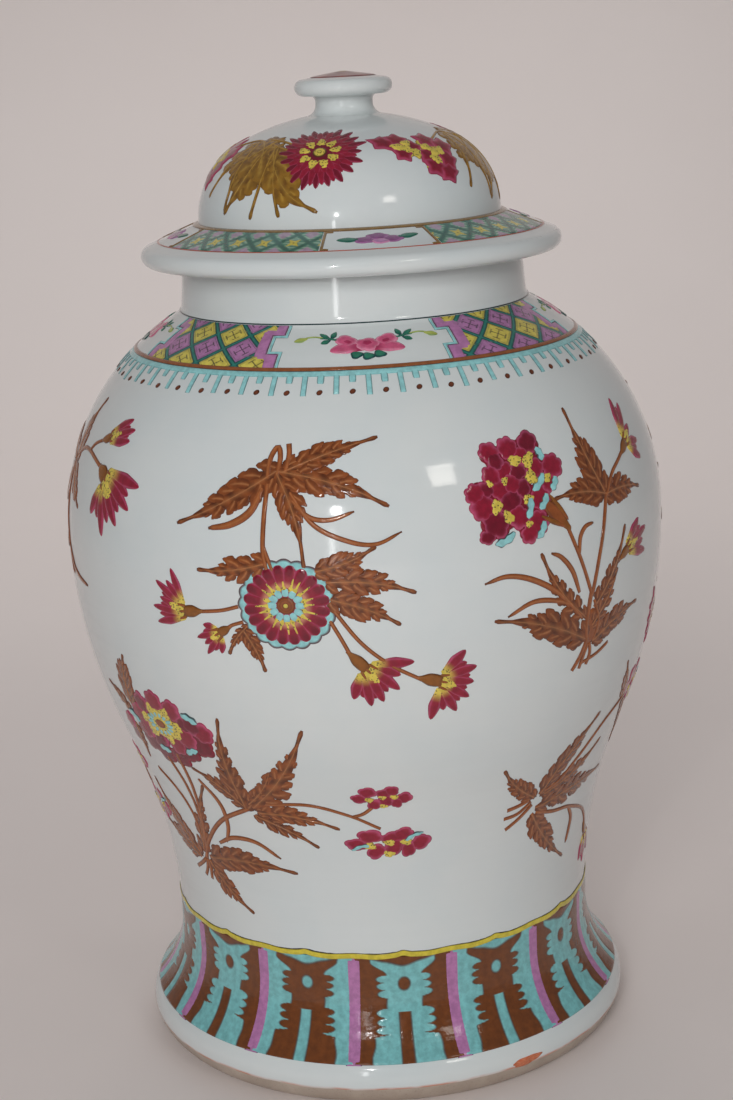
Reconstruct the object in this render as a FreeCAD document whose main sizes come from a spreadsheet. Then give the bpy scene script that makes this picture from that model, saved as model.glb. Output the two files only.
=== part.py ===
"""A lidded baluster ginger jar in glazed porcelain, 510 mm tall, as a parametric FreeCAD document.

The jar is built the way a large one is made at the wheel: it is thrown in sections, and the
leather-hard sections are luted together with slip. From the table up they are the spreading foot
with the floor of the jar, the lower body, the upper body with its shoulder, and the neck. The lid is
four more pieces: the collar that drops into the neck, the brim that rests on the neck's rim, the
dome, and the knob. Sections of one fired piece meet face to face; the lid lifts straight off.

Every section is a half outline revolved about +Z. Its sketch starts at the plane where the section
sits on the one below, and its Placement lifts it there, so a changed height carries on upwards.
Lengths are millimetres, +Z is up, and the origin is the centre of the ring that the jar stands on.
"""

import FreeCAD
import Part
import Sketcher
import math
import os

from FreeCAD import Vector

DIMENSIONS = [
    # Foot: the contact ring is 0, and the waist is where the foot meets the lower body.
    ("foot_height", 60.0),
    ("foot_radius", 131.0),
    ("foot_bulge_height", 14.0),
    ("foot_bulge_curve", 15.0),
    ("foot_ring_width", 9.0),
    ("foot_wall", 7.5),
    ("recess_height", 28.0),
    ("recess_draft", 14.0),
    ("floor_thickness", 8.0),
    ("floor_fillet", 16.0),
    # Lower body: waist to belly.
    ("waist_radius", 112.0),
    ("lower_height", 222.0),
    ("lower_belly_curve", 276.0),
    # Upper body: belly to the foot of the neck.
    ("belly_radius", 157.0),
    ("body_wall", 6.5),
    ("shoulder_rise", 110.0),
    # Neck.
    ("neck_foot_radius", 92.5),
    ("neck_foot_rise", 5.0),
    ("neck_waist_radius", 89.5),
    ("neck_radius", 87.0),
    ("neck_height", 35.0),
    ("mouth_radius", 80.0),
    ("rim_rounding", 2.0),
    # Lid: the collar hangs in the mouth, and the brim lies on the rim.
    ("collar_clearance", 2.0),
    ("collar_wall", 6.0),
    ("collar_depth", 14.0),
    ("collar_rounding", 1.5),
    ("brim_radius", 108.5),
    ("brim_edge_curve", 5.0),
    ("brim_edge_drop", 4.5),
    ("brim_rise", 11.0),
    ("brim_seat_margin", 4.0),
    ("dome_radius", 78.0),
    ("dome_wall", 6.0),
    ("dome_height", 52.0),
    ("crown_curve", 120.0),
    ("knob_foot_radius", 20.0),
    ("knob_foot_curve", 5.5),
    ("knob_stem_radius", 14.7),
    ("knob_throat_curve", 3.5),
    ("knob_radius", 25.0),
    ("knob_edge_curve", 4.2),
    ("knob_edge_height", 14.1),
    ("knob_height", 21.68),
]
SHEET = "dims"
HORIZONTAL_AXIS = -1
VERTICAL_AXIS = -2
ROOT_POINT = 1
START, END, CENTRE = 1, 2, 3
SAME_PLACE = 1e-4


def make_sheet(doc):
    """Writes the driving dimensions to the spreadsheet, one aliased cell each."""
    sheet = doc.addObject("Spreadsheet::Sheet", SHEET)
    for row, (alias, value) in enumerate(DIMENSIONS, start=1):
        sheet.set(f"A{row}", alias)
        sheet.set(f"B{row}", str(value))
        sheet.setAlias(f"B{row}", alias)
    doc.recompute()
    return sheet


def bound(expression):
    """The expression with every dimension's alias read from the sheet."""
    names = {alias for alias, _ in DIMENSIONS}
    words = expression.replace("(", "( ").replace(")", " )").split()
    return " ".join(f"{SHEET}.{w}" if w in names else w for w in words)


class Outline:
    """A closed half outline on a body's XZ plane, drawn as a chain of lines and arcs.

    Each corner and centre is drawn where its guess says, and its constraints, which are bound to
    the sheet, then hold it there. Edges join end to start, and smooth ones join tangentially.
    """

    def __init__(self, body, name):
        self.sketch = body.newObject("Sketcher::SketchObject", name)
        plane = next(f for f in body.Origin.OriginFeatures if f.Role == "XZ_Plane")
        self.sketch.AttachmentSupport = [(plane, "")]
        self.sketch.MapMode = "FlatFace"
        self.edges = []

    def hold(self, kind, *where, expression=None, guess=None):
        """Adds one constraint, and binds its value to the sheet if it has one."""
        if expression is None:
            self.sketch.addConstraint(Sketcher.Constraint(kind, *where))
            return
        index = self.sketch.addConstraint(Sketcher.Constraint(kind, *where, guess))
        self.sketch.setExpression(f"Constraints[{index}]", bound(expression))

    def line(self, start, end):
        a, b = Vector(*start, 0), Vector(*end, 0)
        index = self.sketch.addGeometry(Part.LineSegment(a, b), False)
        self.edges.append((index, START, END))
        return index

    def arc(self, start, end, centre, long_way=False):
        """The shorter arc from start to end, or the longer one. Sketcher arcs run anticlockwise,
        so one drawn clockwise has its start point at the chain's end."""
        c = Vector(*centre, 0)
        a, b = Vector(*start, 0) - c, Vector(*end, 0) - c
        turn = a.x * b.y - a.y * b.x
        if long_way:
            turn = -turn
        first, last = (a, b) if turn > 0 else (b, a)
        angles = [math.atan2(v.y, v.x) for v in (first, last)]
        circle = Part.Circle(c, Vector(0, 0, 1), a.Length)
        index = self.sketch.addGeometry(Part.ArcOfCircle(circle, *angles), False)
        self.edges.append((index, START, END) if turn > 0 else (index, END, START))
        return index

    def join(self, smooth=()):
        """Closes the chain. Edges whose number in the chain is in smooth run on tangentially."""
        for i, (index, _, end) in enumerate(self.edges):
            following, start, _ = self.edges[(i + 1) % len(self.edges)]
            kind = "Tangent" if i in smooth else "Coincident"
            self.hold(kind, index, end, following, start)

    def start_at(self, number, radius=None, height=None):
        """Holds the start of an edge of the chain at a radius and a height from the sheet."""
        index, start, _ = self.edges[number]
        self.place(index, start, radius, height)

    def place(self, index, point, radius=None, height=None):
        where = self.sketch.getPoint(index, point)
        if radius == "0":
            self.hold("PointOnObject", index, point, VERTICAL_AXIS)
        elif radius:
            self.hold("DistanceX", -1, ROOT_POINT, index, point, expression=radius, guess=where.x)
        if height == "0":
            self.hold("PointOnObject", index, point, HORIZONTAL_AXIS)
        elif height:
            self.hold("DistanceY", -1, ROOT_POINT, index, point, expression=height, guess=where.y)

    def curve(self, index, expression):
        """Holds an arc's radius."""
        guess = self.sketch.Geometry[index].Radius
        self.hold("Radius", index, expression=expression, guess=guess)

    def centre_level_with(self, number):
        """Puts an arc's centre level with its own start in the chain, so the start is vertical."""
        index, start, _ = self.edges[number]
        self.hold("Horizontal", index, CENTRE, index, start)

    def centre_level_with_end(self, number):
        index, _, end = self.edges[number]
        self.hold("Horizontal", index, CENTRE, index, end)

    def level(self, *numbers):
        for number in numbers:
            self.hold("Horizontal", self.edges[number][0])

    def upright(self, *numbers):
        for number in numbers:
            self.hold("Vertical", self.edges[number][0])


def on_line_of_centres(start_centre, end_centre, start_curve):
    """The point on the line of centres of two tangent circles, start_curve from the first."""
    a, b = Vector(*start_centre, 0), Vector(*end_centre, 0)
    p = a + (b - a).normalize() * start_curve
    return p.x, p.y


def s_curve(bottom, top, top_curve):
    """Guesses for a concave arc and a convex arc that meet smoothly, vertical at both ends.

    Returns the concave arc's centre, the meeting point and the convex arc's centre."""
    convex = (top[0] - top_curve, top[1])
    across, up = bottom[0] - convex[0], top[1] - bottom[1]
    concave_curve = (across**2 + up**2 - top_curve**2) / (2 * (top_curve - across))
    concave = (bottom[0] + concave_curve, bottom[1])
    return concave, on_line_of_centres(concave, convex, concave_curve), convex


def upright_centre(start, end):
    """The centre of the arc that leaves start vertically and passes through end."""
    across, up = start[0] - end[0], end[1] - start[1]
    return start[0] - (across**2 + up**2) / (2 * across), start[1]


def new_section(doc, label, height=None):
    """A body whose own zero is lifted to the plane that it stands on."""
    body = doc.addObject("PartDesign::Body", label)
    body.Label = label
    if height:
        body.setExpression("Placement.Base.z", bound(height))
    return body


def revolve(body, outline):
    doc = body.Document
    doc.recompute()
    if outline.sketch.solve() != 0 or not outline.sketch.FullyConstrained:
        raise RuntimeError(f"{outline.sketch.Label} isn't fully constrained")
    turned = body.newObject("PartDesign::Revolution", f"{body.Label}_revolution")
    turned.Profile = outline.sketch
    turned.ReferenceAxis = (outline.sketch, ["V_Axis"])
    turned.Angle = 360.0
    doc.recompute()
    return turned


def round_rings(body, base, rounding, rings):
    """Fillets the circular edges that lie at the given radii and heights of the body's frame."""
    chosen = []
    for number, edge in enumerate(base.Shape.Edges, start=1):
        if not isinstance(edge.Curve, Part.Circle):
            continue
        for radius, height in rings:
            same_radius = abs(edge.Curve.Radius - radius) < SAME_PLACE
            if same_radius and abs(edge.Curve.Center.z - height) < SAME_PLACE:
                chosen.append(f"Edge{number}")
    if len(chosen) != len(rings):
        raise RuntimeError(f"{body.Label}: {len(chosen)} of {len(rings)} edges were found to round")
    fillet = body.newObject("PartDesign::Fillet", f"{body.Label}_rounding")
    fillet.Base = (base, chosen)
    fillet.setExpression("Radius", bound(rounding))
    body.Document.recompute()


# The planes on which the sections stand, as expressions over the sheet.
BELLY_PLANE = "foot_height + lower_height"
SHOULDER_PLANE = f"{BELLY_PLANE} + shoulder_rise"
RIM_PLANE = f"{SHOULDER_PLANE} + neck_height"
DOME_PLANE = f"{RIM_PLANE} + brim_rise"
CROWN_CENTRE_DEPTH = "crown_curve - dome_height"
KNOB_PLANE = (
    f"{DOME_PLANE} + dome_height - crown_curve"
    " + sqrt( crown_curve * crown_curve - knob_foot_radius * knob_foot_radius )"
)
COLLAR_RADIUS = "mouth_radius - collar_clearance"


def make_foot(doc, v):
    """The spreading foot: a rounded edge on a narrow contact ring, a flared outside, a recess
    underneath and the floor of the jar."""
    body = new_section(doc, "foot")
    o = Outline(body, "foot_outline")
    bulge = (v["foot_radius"] - v["foot_bulge_curve"], v["foot_bulge_height"])
    reach = math.sqrt(v["foot_bulge_curve"] ** 2 - v["foot_bulge_height"] ** 2)
    contact = (bulge[0] + reach, 0)
    waist = (v["waist_radius"], v["foot_height"])
    across, up = waist[0] - bulge[0], waist[1] - bulge[1]
    curve = v["foot_bulge_curve"]
    flare_curve = (across**2 + up**2 - curve**2) / (2 * (curve - across))
    flare = (waist[0] + flare_curve, waist[1])
    meeting = on_line_of_centres(flare, bulge, flare_curve)
    inside = (waist[0] - v["foot_wall"], waist[1])
    floor = v["recess_height"] + v["floor_thickness"]
    fillet = v["floor_fillet"]
    ring_inside = (contact[0] - v["foot_ring_width"], 0)
    recess_top = (ring_inside[0] - v["recess_draft"], v["recess_height"])

    bulge_arc = o.arc(contact, meeting, bulge)
    o.arc(meeting, waist, flare)
    o.line(waist, inside)
    o.line(inside, (inside[0], floor + fillet))
    fillet_centre = (inside[0] - fillet, floor + fillet)
    fillet_arc = o.arc((inside[0], floor + fillet), (fillet_centre[0], floor), fillet_centre)
    o.line((fillet_centre[0], floor), (0, floor))
    o.line((0, floor), (0, recess_top[1]))
    o.line((0, recess_top[1]), recess_top)
    o.line(recess_top, ring_inside)
    ring = o.line(ring_inside, contact)
    o.join(smooth=(0, 3, 4))

    o.place(bulge_arc, CENTRE, "foot_radius - foot_bulge_curve", "foot_bulge_height")
    o.curve(bulge_arc, "foot_bulge_curve")
    o.start_at(0, height="0")
    o.centre_level_with_end(1)
    o.start_at(2, "waist_radius", "foot_height")
    o.level(2, 5, 7, 9)
    o.start_at(3, radius="waist_radius - foot_wall")
    o.upright(3)
    o.curve(fillet_arc, "floor_fillet")
    o.start_at(6, "0", "recess_height + floor_thickness")
    o.start_at(7, "0", "recess_height")
    o.hold("DistanceX", *o.edges[8][:2], *o.edges[9][:2], expression="recess_draft",
           guess=v["recess_draft"])
    o.hold("DistanceX", ring, START, ring, END, expression="foot_ring_width",
           guess=v["foot_ring_width"])
    revolve(body, o)


def make_lower_body(doc, v):
    """The wall that swells from the waist to the belly, with an S in it."""
    body = new_section(doc, "lower_body", "foot_height")
    o = Outline(body, "lower_body_outline")
    wall = v["body_wall"]
    low, high = (v["waist_radius"], 0), (v["belly_radius"], v["lower_height"])
    low_in, high_in = (low[0] - v["foot_wall"], 0), (high[0] - wall, high[1])
    concave, meeting, convex = s_curve(low, high, v["lower_belly_curve"])
    concave_in, meeting_in, convex_in = s_curve(low_in, high_in, v["lower_belly_curve"] - wall)

    o.arc(low, meeting, concave)
    outer = o.arc(meeting, high, convex)
    o.line(high, high_in)
    inner = o.arc(high_in, meeting_in, convex_in)
    o.arc(meeting_in, low_in, concave_in)
    o.line(low_in, low)
    o.join(smooth=(0, 3))

    o.start_at(0, "waist_radius", "0")
    o.centre_level_with(0)
    o.curve(outer, "lower_belly_curve")
    o.centre_level_with_end(1)
    o.start_at(2, "belly_radius", "lower_height")
    o.start_at(3, "belly_radius - body_wall", "lower_height")
    o.centre_level_with(3)
    o.curve(inner, "lower_belly_curve - body_wall")
    o.start_at(5, "waist_radius - foot_wall", "0")
    o.centre_level_with_end(4)
    revolve(body, o)


def make_upper_body(doc, v):
    """The wall that closes in from the belly over the shoulder to the foot of the neck."""
    body = new_section(doc, "upper_body", BELLY_PLANE)
    o = Outline(body, "upper_body_outline")
    low, high = (v["belly_radius"], 0), (v["neck_foot_radius"], v["shoulder_rise"])
    low_in, high_in = (low[0] - v["body_wall"], 0), (v["mouth_radius"], high[1])

    o.arc(low, high, upright_centre(low, high))
    o.line(high, high_in)
    o.arc(high_in, low_in, upright_centre(low_in, high_in))
    o.line(low_in, low)
    o.join()

    o.start_at(0, "belly_radius", "0")
    o.centre_level_with(0)
    o.start_at(1, "neck_foot_radius", "shoulder_rise")
    o.start_at(2, "mouth_radius", "shoulder_rise")
    o.start_at(3, "belly_radius - body_wall", "0")
    o.centre_level_with_end(2)
    revolve(body, o)


def make_neck(doc, v):
    """The short neck: a small cove at its foot, a slightly tapered outside and a straight bore."""
    body = new_section(doc, "neck", SHOULDER_PLANE)
    o = Outline(body, "neck_outline")
    foot = Vector(v["neck_foot_radius"], 0, 0)
    waist = Vector(v["neck_waist_radius"], v["neck_foot_rise"], 0)
    rim = Vector(v["neck_radius"], v["neck_height"], 0)
    taper = (rim - waist).normalize()
    outward = Vector(taper.y, -taper.x, 0)
    chord = foot - waist
    cove = waist + outward * (chord.Length**2 / (2 * chord.dot(outward)))

    o.arc((foot.x, foot.y), (waist.x, waist.y), (cove.x, cove.y))
    o.line((waist.x, waist.y), (rim.x, rim.y))
    o.line((rim.x, rim.y), (v["mouth_radius"], rim.y))
    o.line((v["mouth_radius"], rim.y), (v["mouth_radius"], 0))
    o.line((v["mouth_radius"], 0), (foot.x, foot.y))
    o.join(smooth=(0,))

    o.start_at(0, "neck_foot_radius", "0")
    o.start_at(1, "neck_waist_radius", "neck_foot_rise")
    o.start_at(2, "neck_radius", "neck_height")
    o.start_at(3, "mouth_radius", "neck_height")
    o.start_at(4, "mouth_radius", "0")
    base = revolve(body, o)
    rings = [(v["neck_radius"], v["neck_height"]), (v["mouth_radius"], v["neck_height"])]
    round_rings(body, base, "rim_rounding", rings)


def make_lid_collar(doc, v):
    """The ring under the lid that keeps it centred in the mouth."""
    body = new_section(doc, "lid_collar", f"{RIM_PLANE} - collar_depth")
    outside = v["mouth_radius"] - v["collar_clearance"]
    inside = outside - v["collar_wall"]
    o = Outline(body, "lid_collar_outline")
    o.line((outside, 0), (outside, v["collar_depth"]))
    o.line((outside, v["collar_depth"]), (inside, v["collar_depth"]))
    o.line((inside, v["collar_depth"]), (inside, 0))
    o.line((inside, 0), (outside, 0))
    o.join()
    o.upright(0, 2)
    o.level(1, 3)
    o.start_at(0, COLLAR_RADIUS, "0")
    o.start_at(2, f"{COLLAR_RADIUS} - collar_wall", "collar_depth")
    base = revolve(body, o)
    round_rings(body, base, "collar_rounding", [(outside, 0), (inside, 0)])


def make_lid_brim(doc, v):
    """The sloping brim: a flat seat on the neck's rim, a rounded drip edge and a level ring on
    which the dome stands. Its hole runs from the collar's inside up to the dome's inside."""
    body = new_section(doc, "lid_brim", RIM_PLANE)
    o = Outline(body, "lid_brim_outline")
    collar_hole = v["mouth_radius"] - v["collar_clearance"] - v["collar_wall"]
    dome_hole = v["dome_radius"] - v["dome_wall"]
    seat = v["neck_radius"] + v["brim_seat_margin"]
    curve = v["brim_edge_curve"]
    edge = Vector(v["brim_radius"] - curve, -v["brim_edge_drop"], 0)
    shoulder = Vector(v["dome_radius"], v["brim_rise"], 0)
    away = shoulder - edge
    lean = math.atan2(away.y, away.x) - math.acos(curve / away.Length)
    top = edge + Vector(math.cos(lean), math.sin(lean), 0) * curve
    bottom = edge - Vector(0, curve, 0)

    o.line((collar_hole, 0), (seat, 0))
    o.line((seat, 0), (bottom.x, bottom.y))
    edge_arc = o.arc((bottom.x, bottom.y), (top.x, top.y), (edge.x, edge.y))
    o.line((top.x, top.y), (shoulder.x, shoulder.y))
    o.line((shoulder.x, shoulder.y), (dome_hole, shoulder.y))
    o.line((dome_hole, shoulder.y), (collar_hole, 0))
    o.join(smooth=(2,))

    o.start_at(0, f"{COLLAR_RADIUS} - collar_wall", "0")
    o.start_at(1, "neck_radius + brim_seat_margin", "0")
    o.hold("DistanceX", -1, ROOT_POINT, edge_arc, CENTRE,
           expression="brim_radius - brim_edge_curve", guess=edge.x)
    o.hold("DistanceY", edge_arc, CENTRE, -1, ROOT_POINT,
           expression="brim_edge_drop", guess=v["brim_edge_drop"])
    o.curve(edge_arc, "brim_edge_curve")
    o.hold("Vertical", edge_arc, CENTRE, *o.edges[2][:2])
    o.start_at(4, "dome_radius", "brim_rise")
    o.level(4)
    o.start_at(5, radius="dome_radius - dome_wall")
    revolve(body, o)


def make_lid_dome(doc, v):
    """The hollow dome, with a level landing at its crown for the knob."""
    body = new_section(doc, "lid_dome", DOME_PLANE)
    o = Outline(body, "lid_dome_outline")
    wall, crown_curve = v["dome_wall"], v["crown_curve"]
    crown = (0, v["dome_height"] - crown_curve)

    def side_of(radius, curve):
        """The side arc's centre and its meeting point with the crown arc."""
        side = (radius**2 + crown[1] ** 2 - curve**2) / (2 * (radius - curve))
        centre = (radius - side, 0)
        return centre, on_line_of_centres(crown, centre, curve)

    side, meeting = side_of(v["dome_radius"], crown_curve)
    side_in, meeting_in = side_of(v["dome_radius"] - wall, crown_curve - wall)
    landing_height = crown[1] + math.sqrt(crown_curve**2 - v["knob_foot_radius"] ** 2)
    landing = (v["knob_foot_radius"], landing_height)
    low, low_in = (v["dome_radius"], 0), (v["dome_radius"] - wall, 0)
    apex_in = (0, v["dome_height"] - wall)

    o.arc(low, meeting, side)
    crown_arc = o.arc(meeting, landing, crown)
    o.line(landing, (0, landing_height))
    o.line((0, landing_height), apex_in)
    crown_in = o.arc(apex_in, meeting_in, crown)
    o.arc(meeting_in, low_in, side_in)
    o.line(low_in, low)
    o.join(smooth=(0, 4))

    o.start_at(0, "dome_radius", "0")
    o.centre_level_with(0)
    o.hold("PointOnObject", crown_arc, CENTRE, VERTICAL_AXIS)
    o.hold("DistanceY", crown_arc, CENTRE, -1, ROOT_POINT,
           expression=CROWN_CENTRE_DEPTH, guess=-crown[1])
    o.curve(crown_arc, "crown_curve")
    o.start_at(2, radius="knob_foot_radius")
    o.level(2)
    o.start_at(3, radius="0")
    o.start_at(4, radius="0")
    o.hold("Coincident", crown_arc, CENTRE, crown_in, CENTRE)
    o.curve(crown_in, "crown_curve - dome_wall")
    o.start_at(6, "dome_radius - dome_wall", "0")
    o.centre_level_with_end(5)
    revolve(body, o)


def make_lid_knob(doc, v):
    """The button knob: a flared foot, a short stem and a flat cap with a low point on top."""
    body = new_section(doc, "lid_knob", KNOB_PLANE)
    o = Outline(body, "lid_knob_outline")
    stem, foot_curve = v["knob_stem_radius"], v["knob_foot_curve"]
    throat_curve, edge_curve = v["knob_throat_curve"], v["knob_edge_curve"]
    foot = (v["knob_foot_radius"], 0)
    flare_x = stem + foot_curve
    flare = (flare_x, math.sqrt(foot_curve**2 - (foot[0] - flare_x) ** 2))
    edge = Vector(v["knob_radius"] - edge_curve, v["knob_edge_height"], 0)
    throat_x = stem + throat_curve
    apart = throat_curve + edge_curve
    throat = (throat_x, edge.y - math.sqrt(apart**2 - (edge.x - throat_x) ** 2))
    under = on_line_of_centres(throat, (edge.x, edge.y), throat_curve)
    peak = Vector(0, v["knob_height"], 0)
    away = peak - edge
    lean = math.atan2(away.y, away.x) - math.acos(edge_curve / away.Length)
    top = edge + Vector(math.cos(lean), math.sin(lean), 0) * edge_curve

    foot_arc = o.arc(foot, (stem, flare[1]), flare)
    o.line((stem, flare[1]), (stem, throat[1]))
    throat_arc = o.arc((stem, throat[1]), under, throat)
    edge_arc = o.arc(under, (top.x, top.y), (edge.x, edge.y), long_way=True)
    o.line((top.x, top.y), (0, peak.y))
    o.line((0, peak.y), (0, 0))
    o.line((0, 0), foot)
    o.join(smooth=(0, 1, 2, 3))

    o.start_at(0, "knob_foot_radius", "0")
    o.curve(foot_arc, "knob_foot_curve")
    o.start_at(1, radius="knob_stem_radius")
    o.upright(1)
    o.curve(throat_arc, "knob_throat_curve")
    o.curve(edge_arc, "knob_edge_curve")
    o.place(edge_arc, CENTRE, "knob_radius - knob_edge_curve", "knob_edge_height")
    o.start_at(5, "0", "knob_height")
    o.start_at(6, "0", "0")
    revolve(body, o)


SECTIONS = [
    make_foot,
    make_lower_body,
    make_upper_body,
    make_neck,
    make_lid_collar,
    make_lid_brim,
    make_lid_dome,
    make_lid_knob,
]


def check(doc):
    """Stops if any object failed to recompute, or a body has no valid solid."""
    for thing in doc.Objects:
        if "Invalid" in thing.State or "Error" in thing.State:
            raise RuntimeError(f"{thing.Label} failed: {thing.State}")
    for body in bodies_of(doc):
        shape = body.Shape
        if shape.isNull() or not shape.isValid() or len(shape.Solids) != 1:
            raise RuntimeError(f"{body.Label} isn't one valid solid")


def bodies_of(doc):
    return [thing for thing in doc.Objects if thing.TypeId == "PartDesign::Body"]


def main():
    doc = FreeCAD.newDocument("ginger_jar")
    sheet = make_sheet(doc)
    values = {alias: float(sheet.get(alias)) for alias, _ in DIMENSIONS}
    for make in SECTIONS:
        make(doc, values)
    doc.recompute()
    check(doc)
    os.makedirs("parts", exist_ok=True)
    for body in bodies_of(doc):
        body.Shape.exportStep(f"parts/{body.Label}.step")
        box = body.Shape.optimalBoundingBox()
        print(f"{body.Label}: {body.Shape.Volume / 1000:.1f} cm3, z {box.ZMin:.2f} to {box.ZMax:.2f}")


main()
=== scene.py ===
"""The looks of the ginger jar: glazed porcelain, and enamel painted over the glaze.

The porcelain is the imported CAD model, which stays as it is and gets a glaze. All the painting is
raised enamel, made as thin closed shells that follow the wall of the jar and the lid. A motif is
drawn flat, in millimetres: x runs to the right round the wall and y runs up its outline, both from
the place where the motif sits. Azimuths are in degrees, 0 at the front and growing to the right.
"""

import math

import bpy
import numpy as np
from mathutils import Matrix, Vector


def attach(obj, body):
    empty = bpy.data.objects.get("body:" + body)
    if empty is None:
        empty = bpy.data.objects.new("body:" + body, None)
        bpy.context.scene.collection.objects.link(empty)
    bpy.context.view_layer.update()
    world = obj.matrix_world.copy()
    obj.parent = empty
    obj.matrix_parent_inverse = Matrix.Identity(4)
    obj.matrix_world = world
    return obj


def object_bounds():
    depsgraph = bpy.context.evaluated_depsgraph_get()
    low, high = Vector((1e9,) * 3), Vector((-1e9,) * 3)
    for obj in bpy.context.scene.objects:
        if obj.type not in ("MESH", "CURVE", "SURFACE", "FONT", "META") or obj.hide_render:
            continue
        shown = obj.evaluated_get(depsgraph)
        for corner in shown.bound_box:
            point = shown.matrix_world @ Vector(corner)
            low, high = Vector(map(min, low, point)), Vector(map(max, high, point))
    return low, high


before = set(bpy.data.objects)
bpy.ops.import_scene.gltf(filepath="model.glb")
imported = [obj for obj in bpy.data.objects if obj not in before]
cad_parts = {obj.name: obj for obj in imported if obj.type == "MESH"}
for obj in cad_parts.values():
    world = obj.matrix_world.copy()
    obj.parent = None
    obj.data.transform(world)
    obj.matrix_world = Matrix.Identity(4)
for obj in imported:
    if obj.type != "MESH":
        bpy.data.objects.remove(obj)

CAD_BOX = [list(corner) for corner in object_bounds()]
HEIGHT = CAD_BOX[1][2] - CAD_BOX[0][2]
MM = 0.001
SEED = 7

# How the enamel lies on the glaze, in mm.
EDGE_LIFT = 0.10
SUNK = -0.30
STEP = 1.1
THINNEST = 0.12

# How wide the soft edge of a painted outline is, as a share of the half width.
LINE_BLUR = 0.12


# ---- Colours ----

def colour(red, green, blue, stipple=0.0):
    """A paint from 0 to 255 display values, with how strongly it is stippled in its last place."""
    def linear(value):
        c = value / 255
        return c / 12.92 if c <= 0.04045 else ((c + 0.055) / 1.055) ** 2.4
    return np.array([linear(red), linear(green), linear(blue), stipple])


BROWN = colour(150, 80, 36)
BROWN_DARK = colour(80, 36, 12)
BROWN_PALE = colour(198, 138, 86)
OCHRE = colour(158, 116, 34)
OCHRE_DARK = colour(104, 66, 16)
OCHRE_PALE = colour(192, 154, 66)
CALYX = colour(140, 84, 26)
MAGENTA = colour(144, 20, 48)
MAGENTA_DEEP = colour(116, 12, 38)
PINK = colour(192, 82, 120)
ROSE = colour(204, 84, 124)
ROSE_PALE = colour(226, 150, 176)
YELLOW = colour(222, 200, 84, 1.0)
YELLOW_PLAIN = colour(216, 200, 88)
YELLOW_LINE = colour(214, 196, 62)
TURQUOISE = colour(150, 210, 212)
TURQUOISE_DEEP = colour(128, 196, 198)
INK = colour(44, 40, 44)
GREEN = colour(40, 124, 112)
GREEN_DEEP = colour(8, 70, 70)
LEAF_GREEN = colour(36, 118, 92)
BUD_GREEN = colour(176, 186, 92)
LILAC = colour(182, 124, 174)
PURPLE = colour(184, 122, 172)
LINE_BROWN = colour(146, 84, 44)
FOOT_BROWN = colour(116, 62, 22)
BAND_OCHRE = colour(140, 108, 58)
RED_LINE = colour(182, 84, 60)
DOT_BROWN = colour(112, 56, 30)

# Body, dark and pale paint of the leaves and stems, on the jar and on the dome.
BROWNS = (BROWN, BROWN_DARK, BROWN_PALE)
OCHRES = (OCHRE, OCHRE_DARK, OCHRE_PALE)


def mix(first, second, amount):
    """Blends two paints, or arrays of them, by an amount from 0 to 1."""
    amount = np.clip(np.asarray(amount, float), 0, 1)[..., None]
    return first * (1 - amount) + second * amount


def ramp(value, low, high):
    """0 below low, 1 above high and smooth between."""
    k = np.clip((np.asarray(value, float) - low) / (high - low), 0, 1)
    return k * k * (3 - 2 * k)


# ---- The wall that the enamel lies on ----

class Wall:
    """The outside of some turned CAD nodes, as radius and height against distance up the outline."""

    def __init__(self, *nodes):
        outside = {}
        for name in nodes:
            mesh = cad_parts[name].data
            for face in mesh.polygons:
                middle = Vector((face.center.x, face.center.y, 0))
                if middle.length < MM or face.normal.dot(middle.normalized()) < 0.02:
                    continue
                for index in face.vertices:
                    point = mesh.vertices[index].co / MM
                    level = round(point.z, 2)
                    reach = math.hypot(point.x, point.y)
                    outside[level] = max(outside.get(level, 0), reach)
        self.heights = np.array(sorted(outside))
        self.radii = np.array([outside[level] for level in self.heights])
        steps = np.hypot(np.diff(self.heights), np.diff(self.radii))
        self.along = np.concatenate([[0], np.cumsum(steps)])
        self.top = self.along[-1]

    def at_height(self, height):
        """The distance up the outline at a height in mm."""
        return float(np.interp(height, self.heights, self.along))

    def radius(self, along):
        return np.interp(along, self.along, self.radii)

    def place(self, azimuth, along, lift):
        """Points in metres, lifted off the wall along its normal."""
        reach = 0.8
        ahead, behind = along + reach, along - reach
        run = self.radius(ahead) - self.radius(behind)
        rise = np.interp(ahead, self.along, self.heights) - np.interp(behind, self.along, self.heights)
        length = np.hypot(run, rise)
        radius = self.radius(along) + lift * rise / length
        height = np.interp(along, self.along, self.heights) - lift * run / length
        turn = np.radians(azimuth)
        return np.stack([radius * np.sin(turn), -radius * np.cos(turn), height], -1) * MM


JAR = Wall("foot", "lower_body", "upper_body", "neck")
DOME = Wall("lid_dome")
BRIM = Wall("lid_brim")
KNOB = Wall("lid_knob")


# ---- Enamel shells ----

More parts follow.
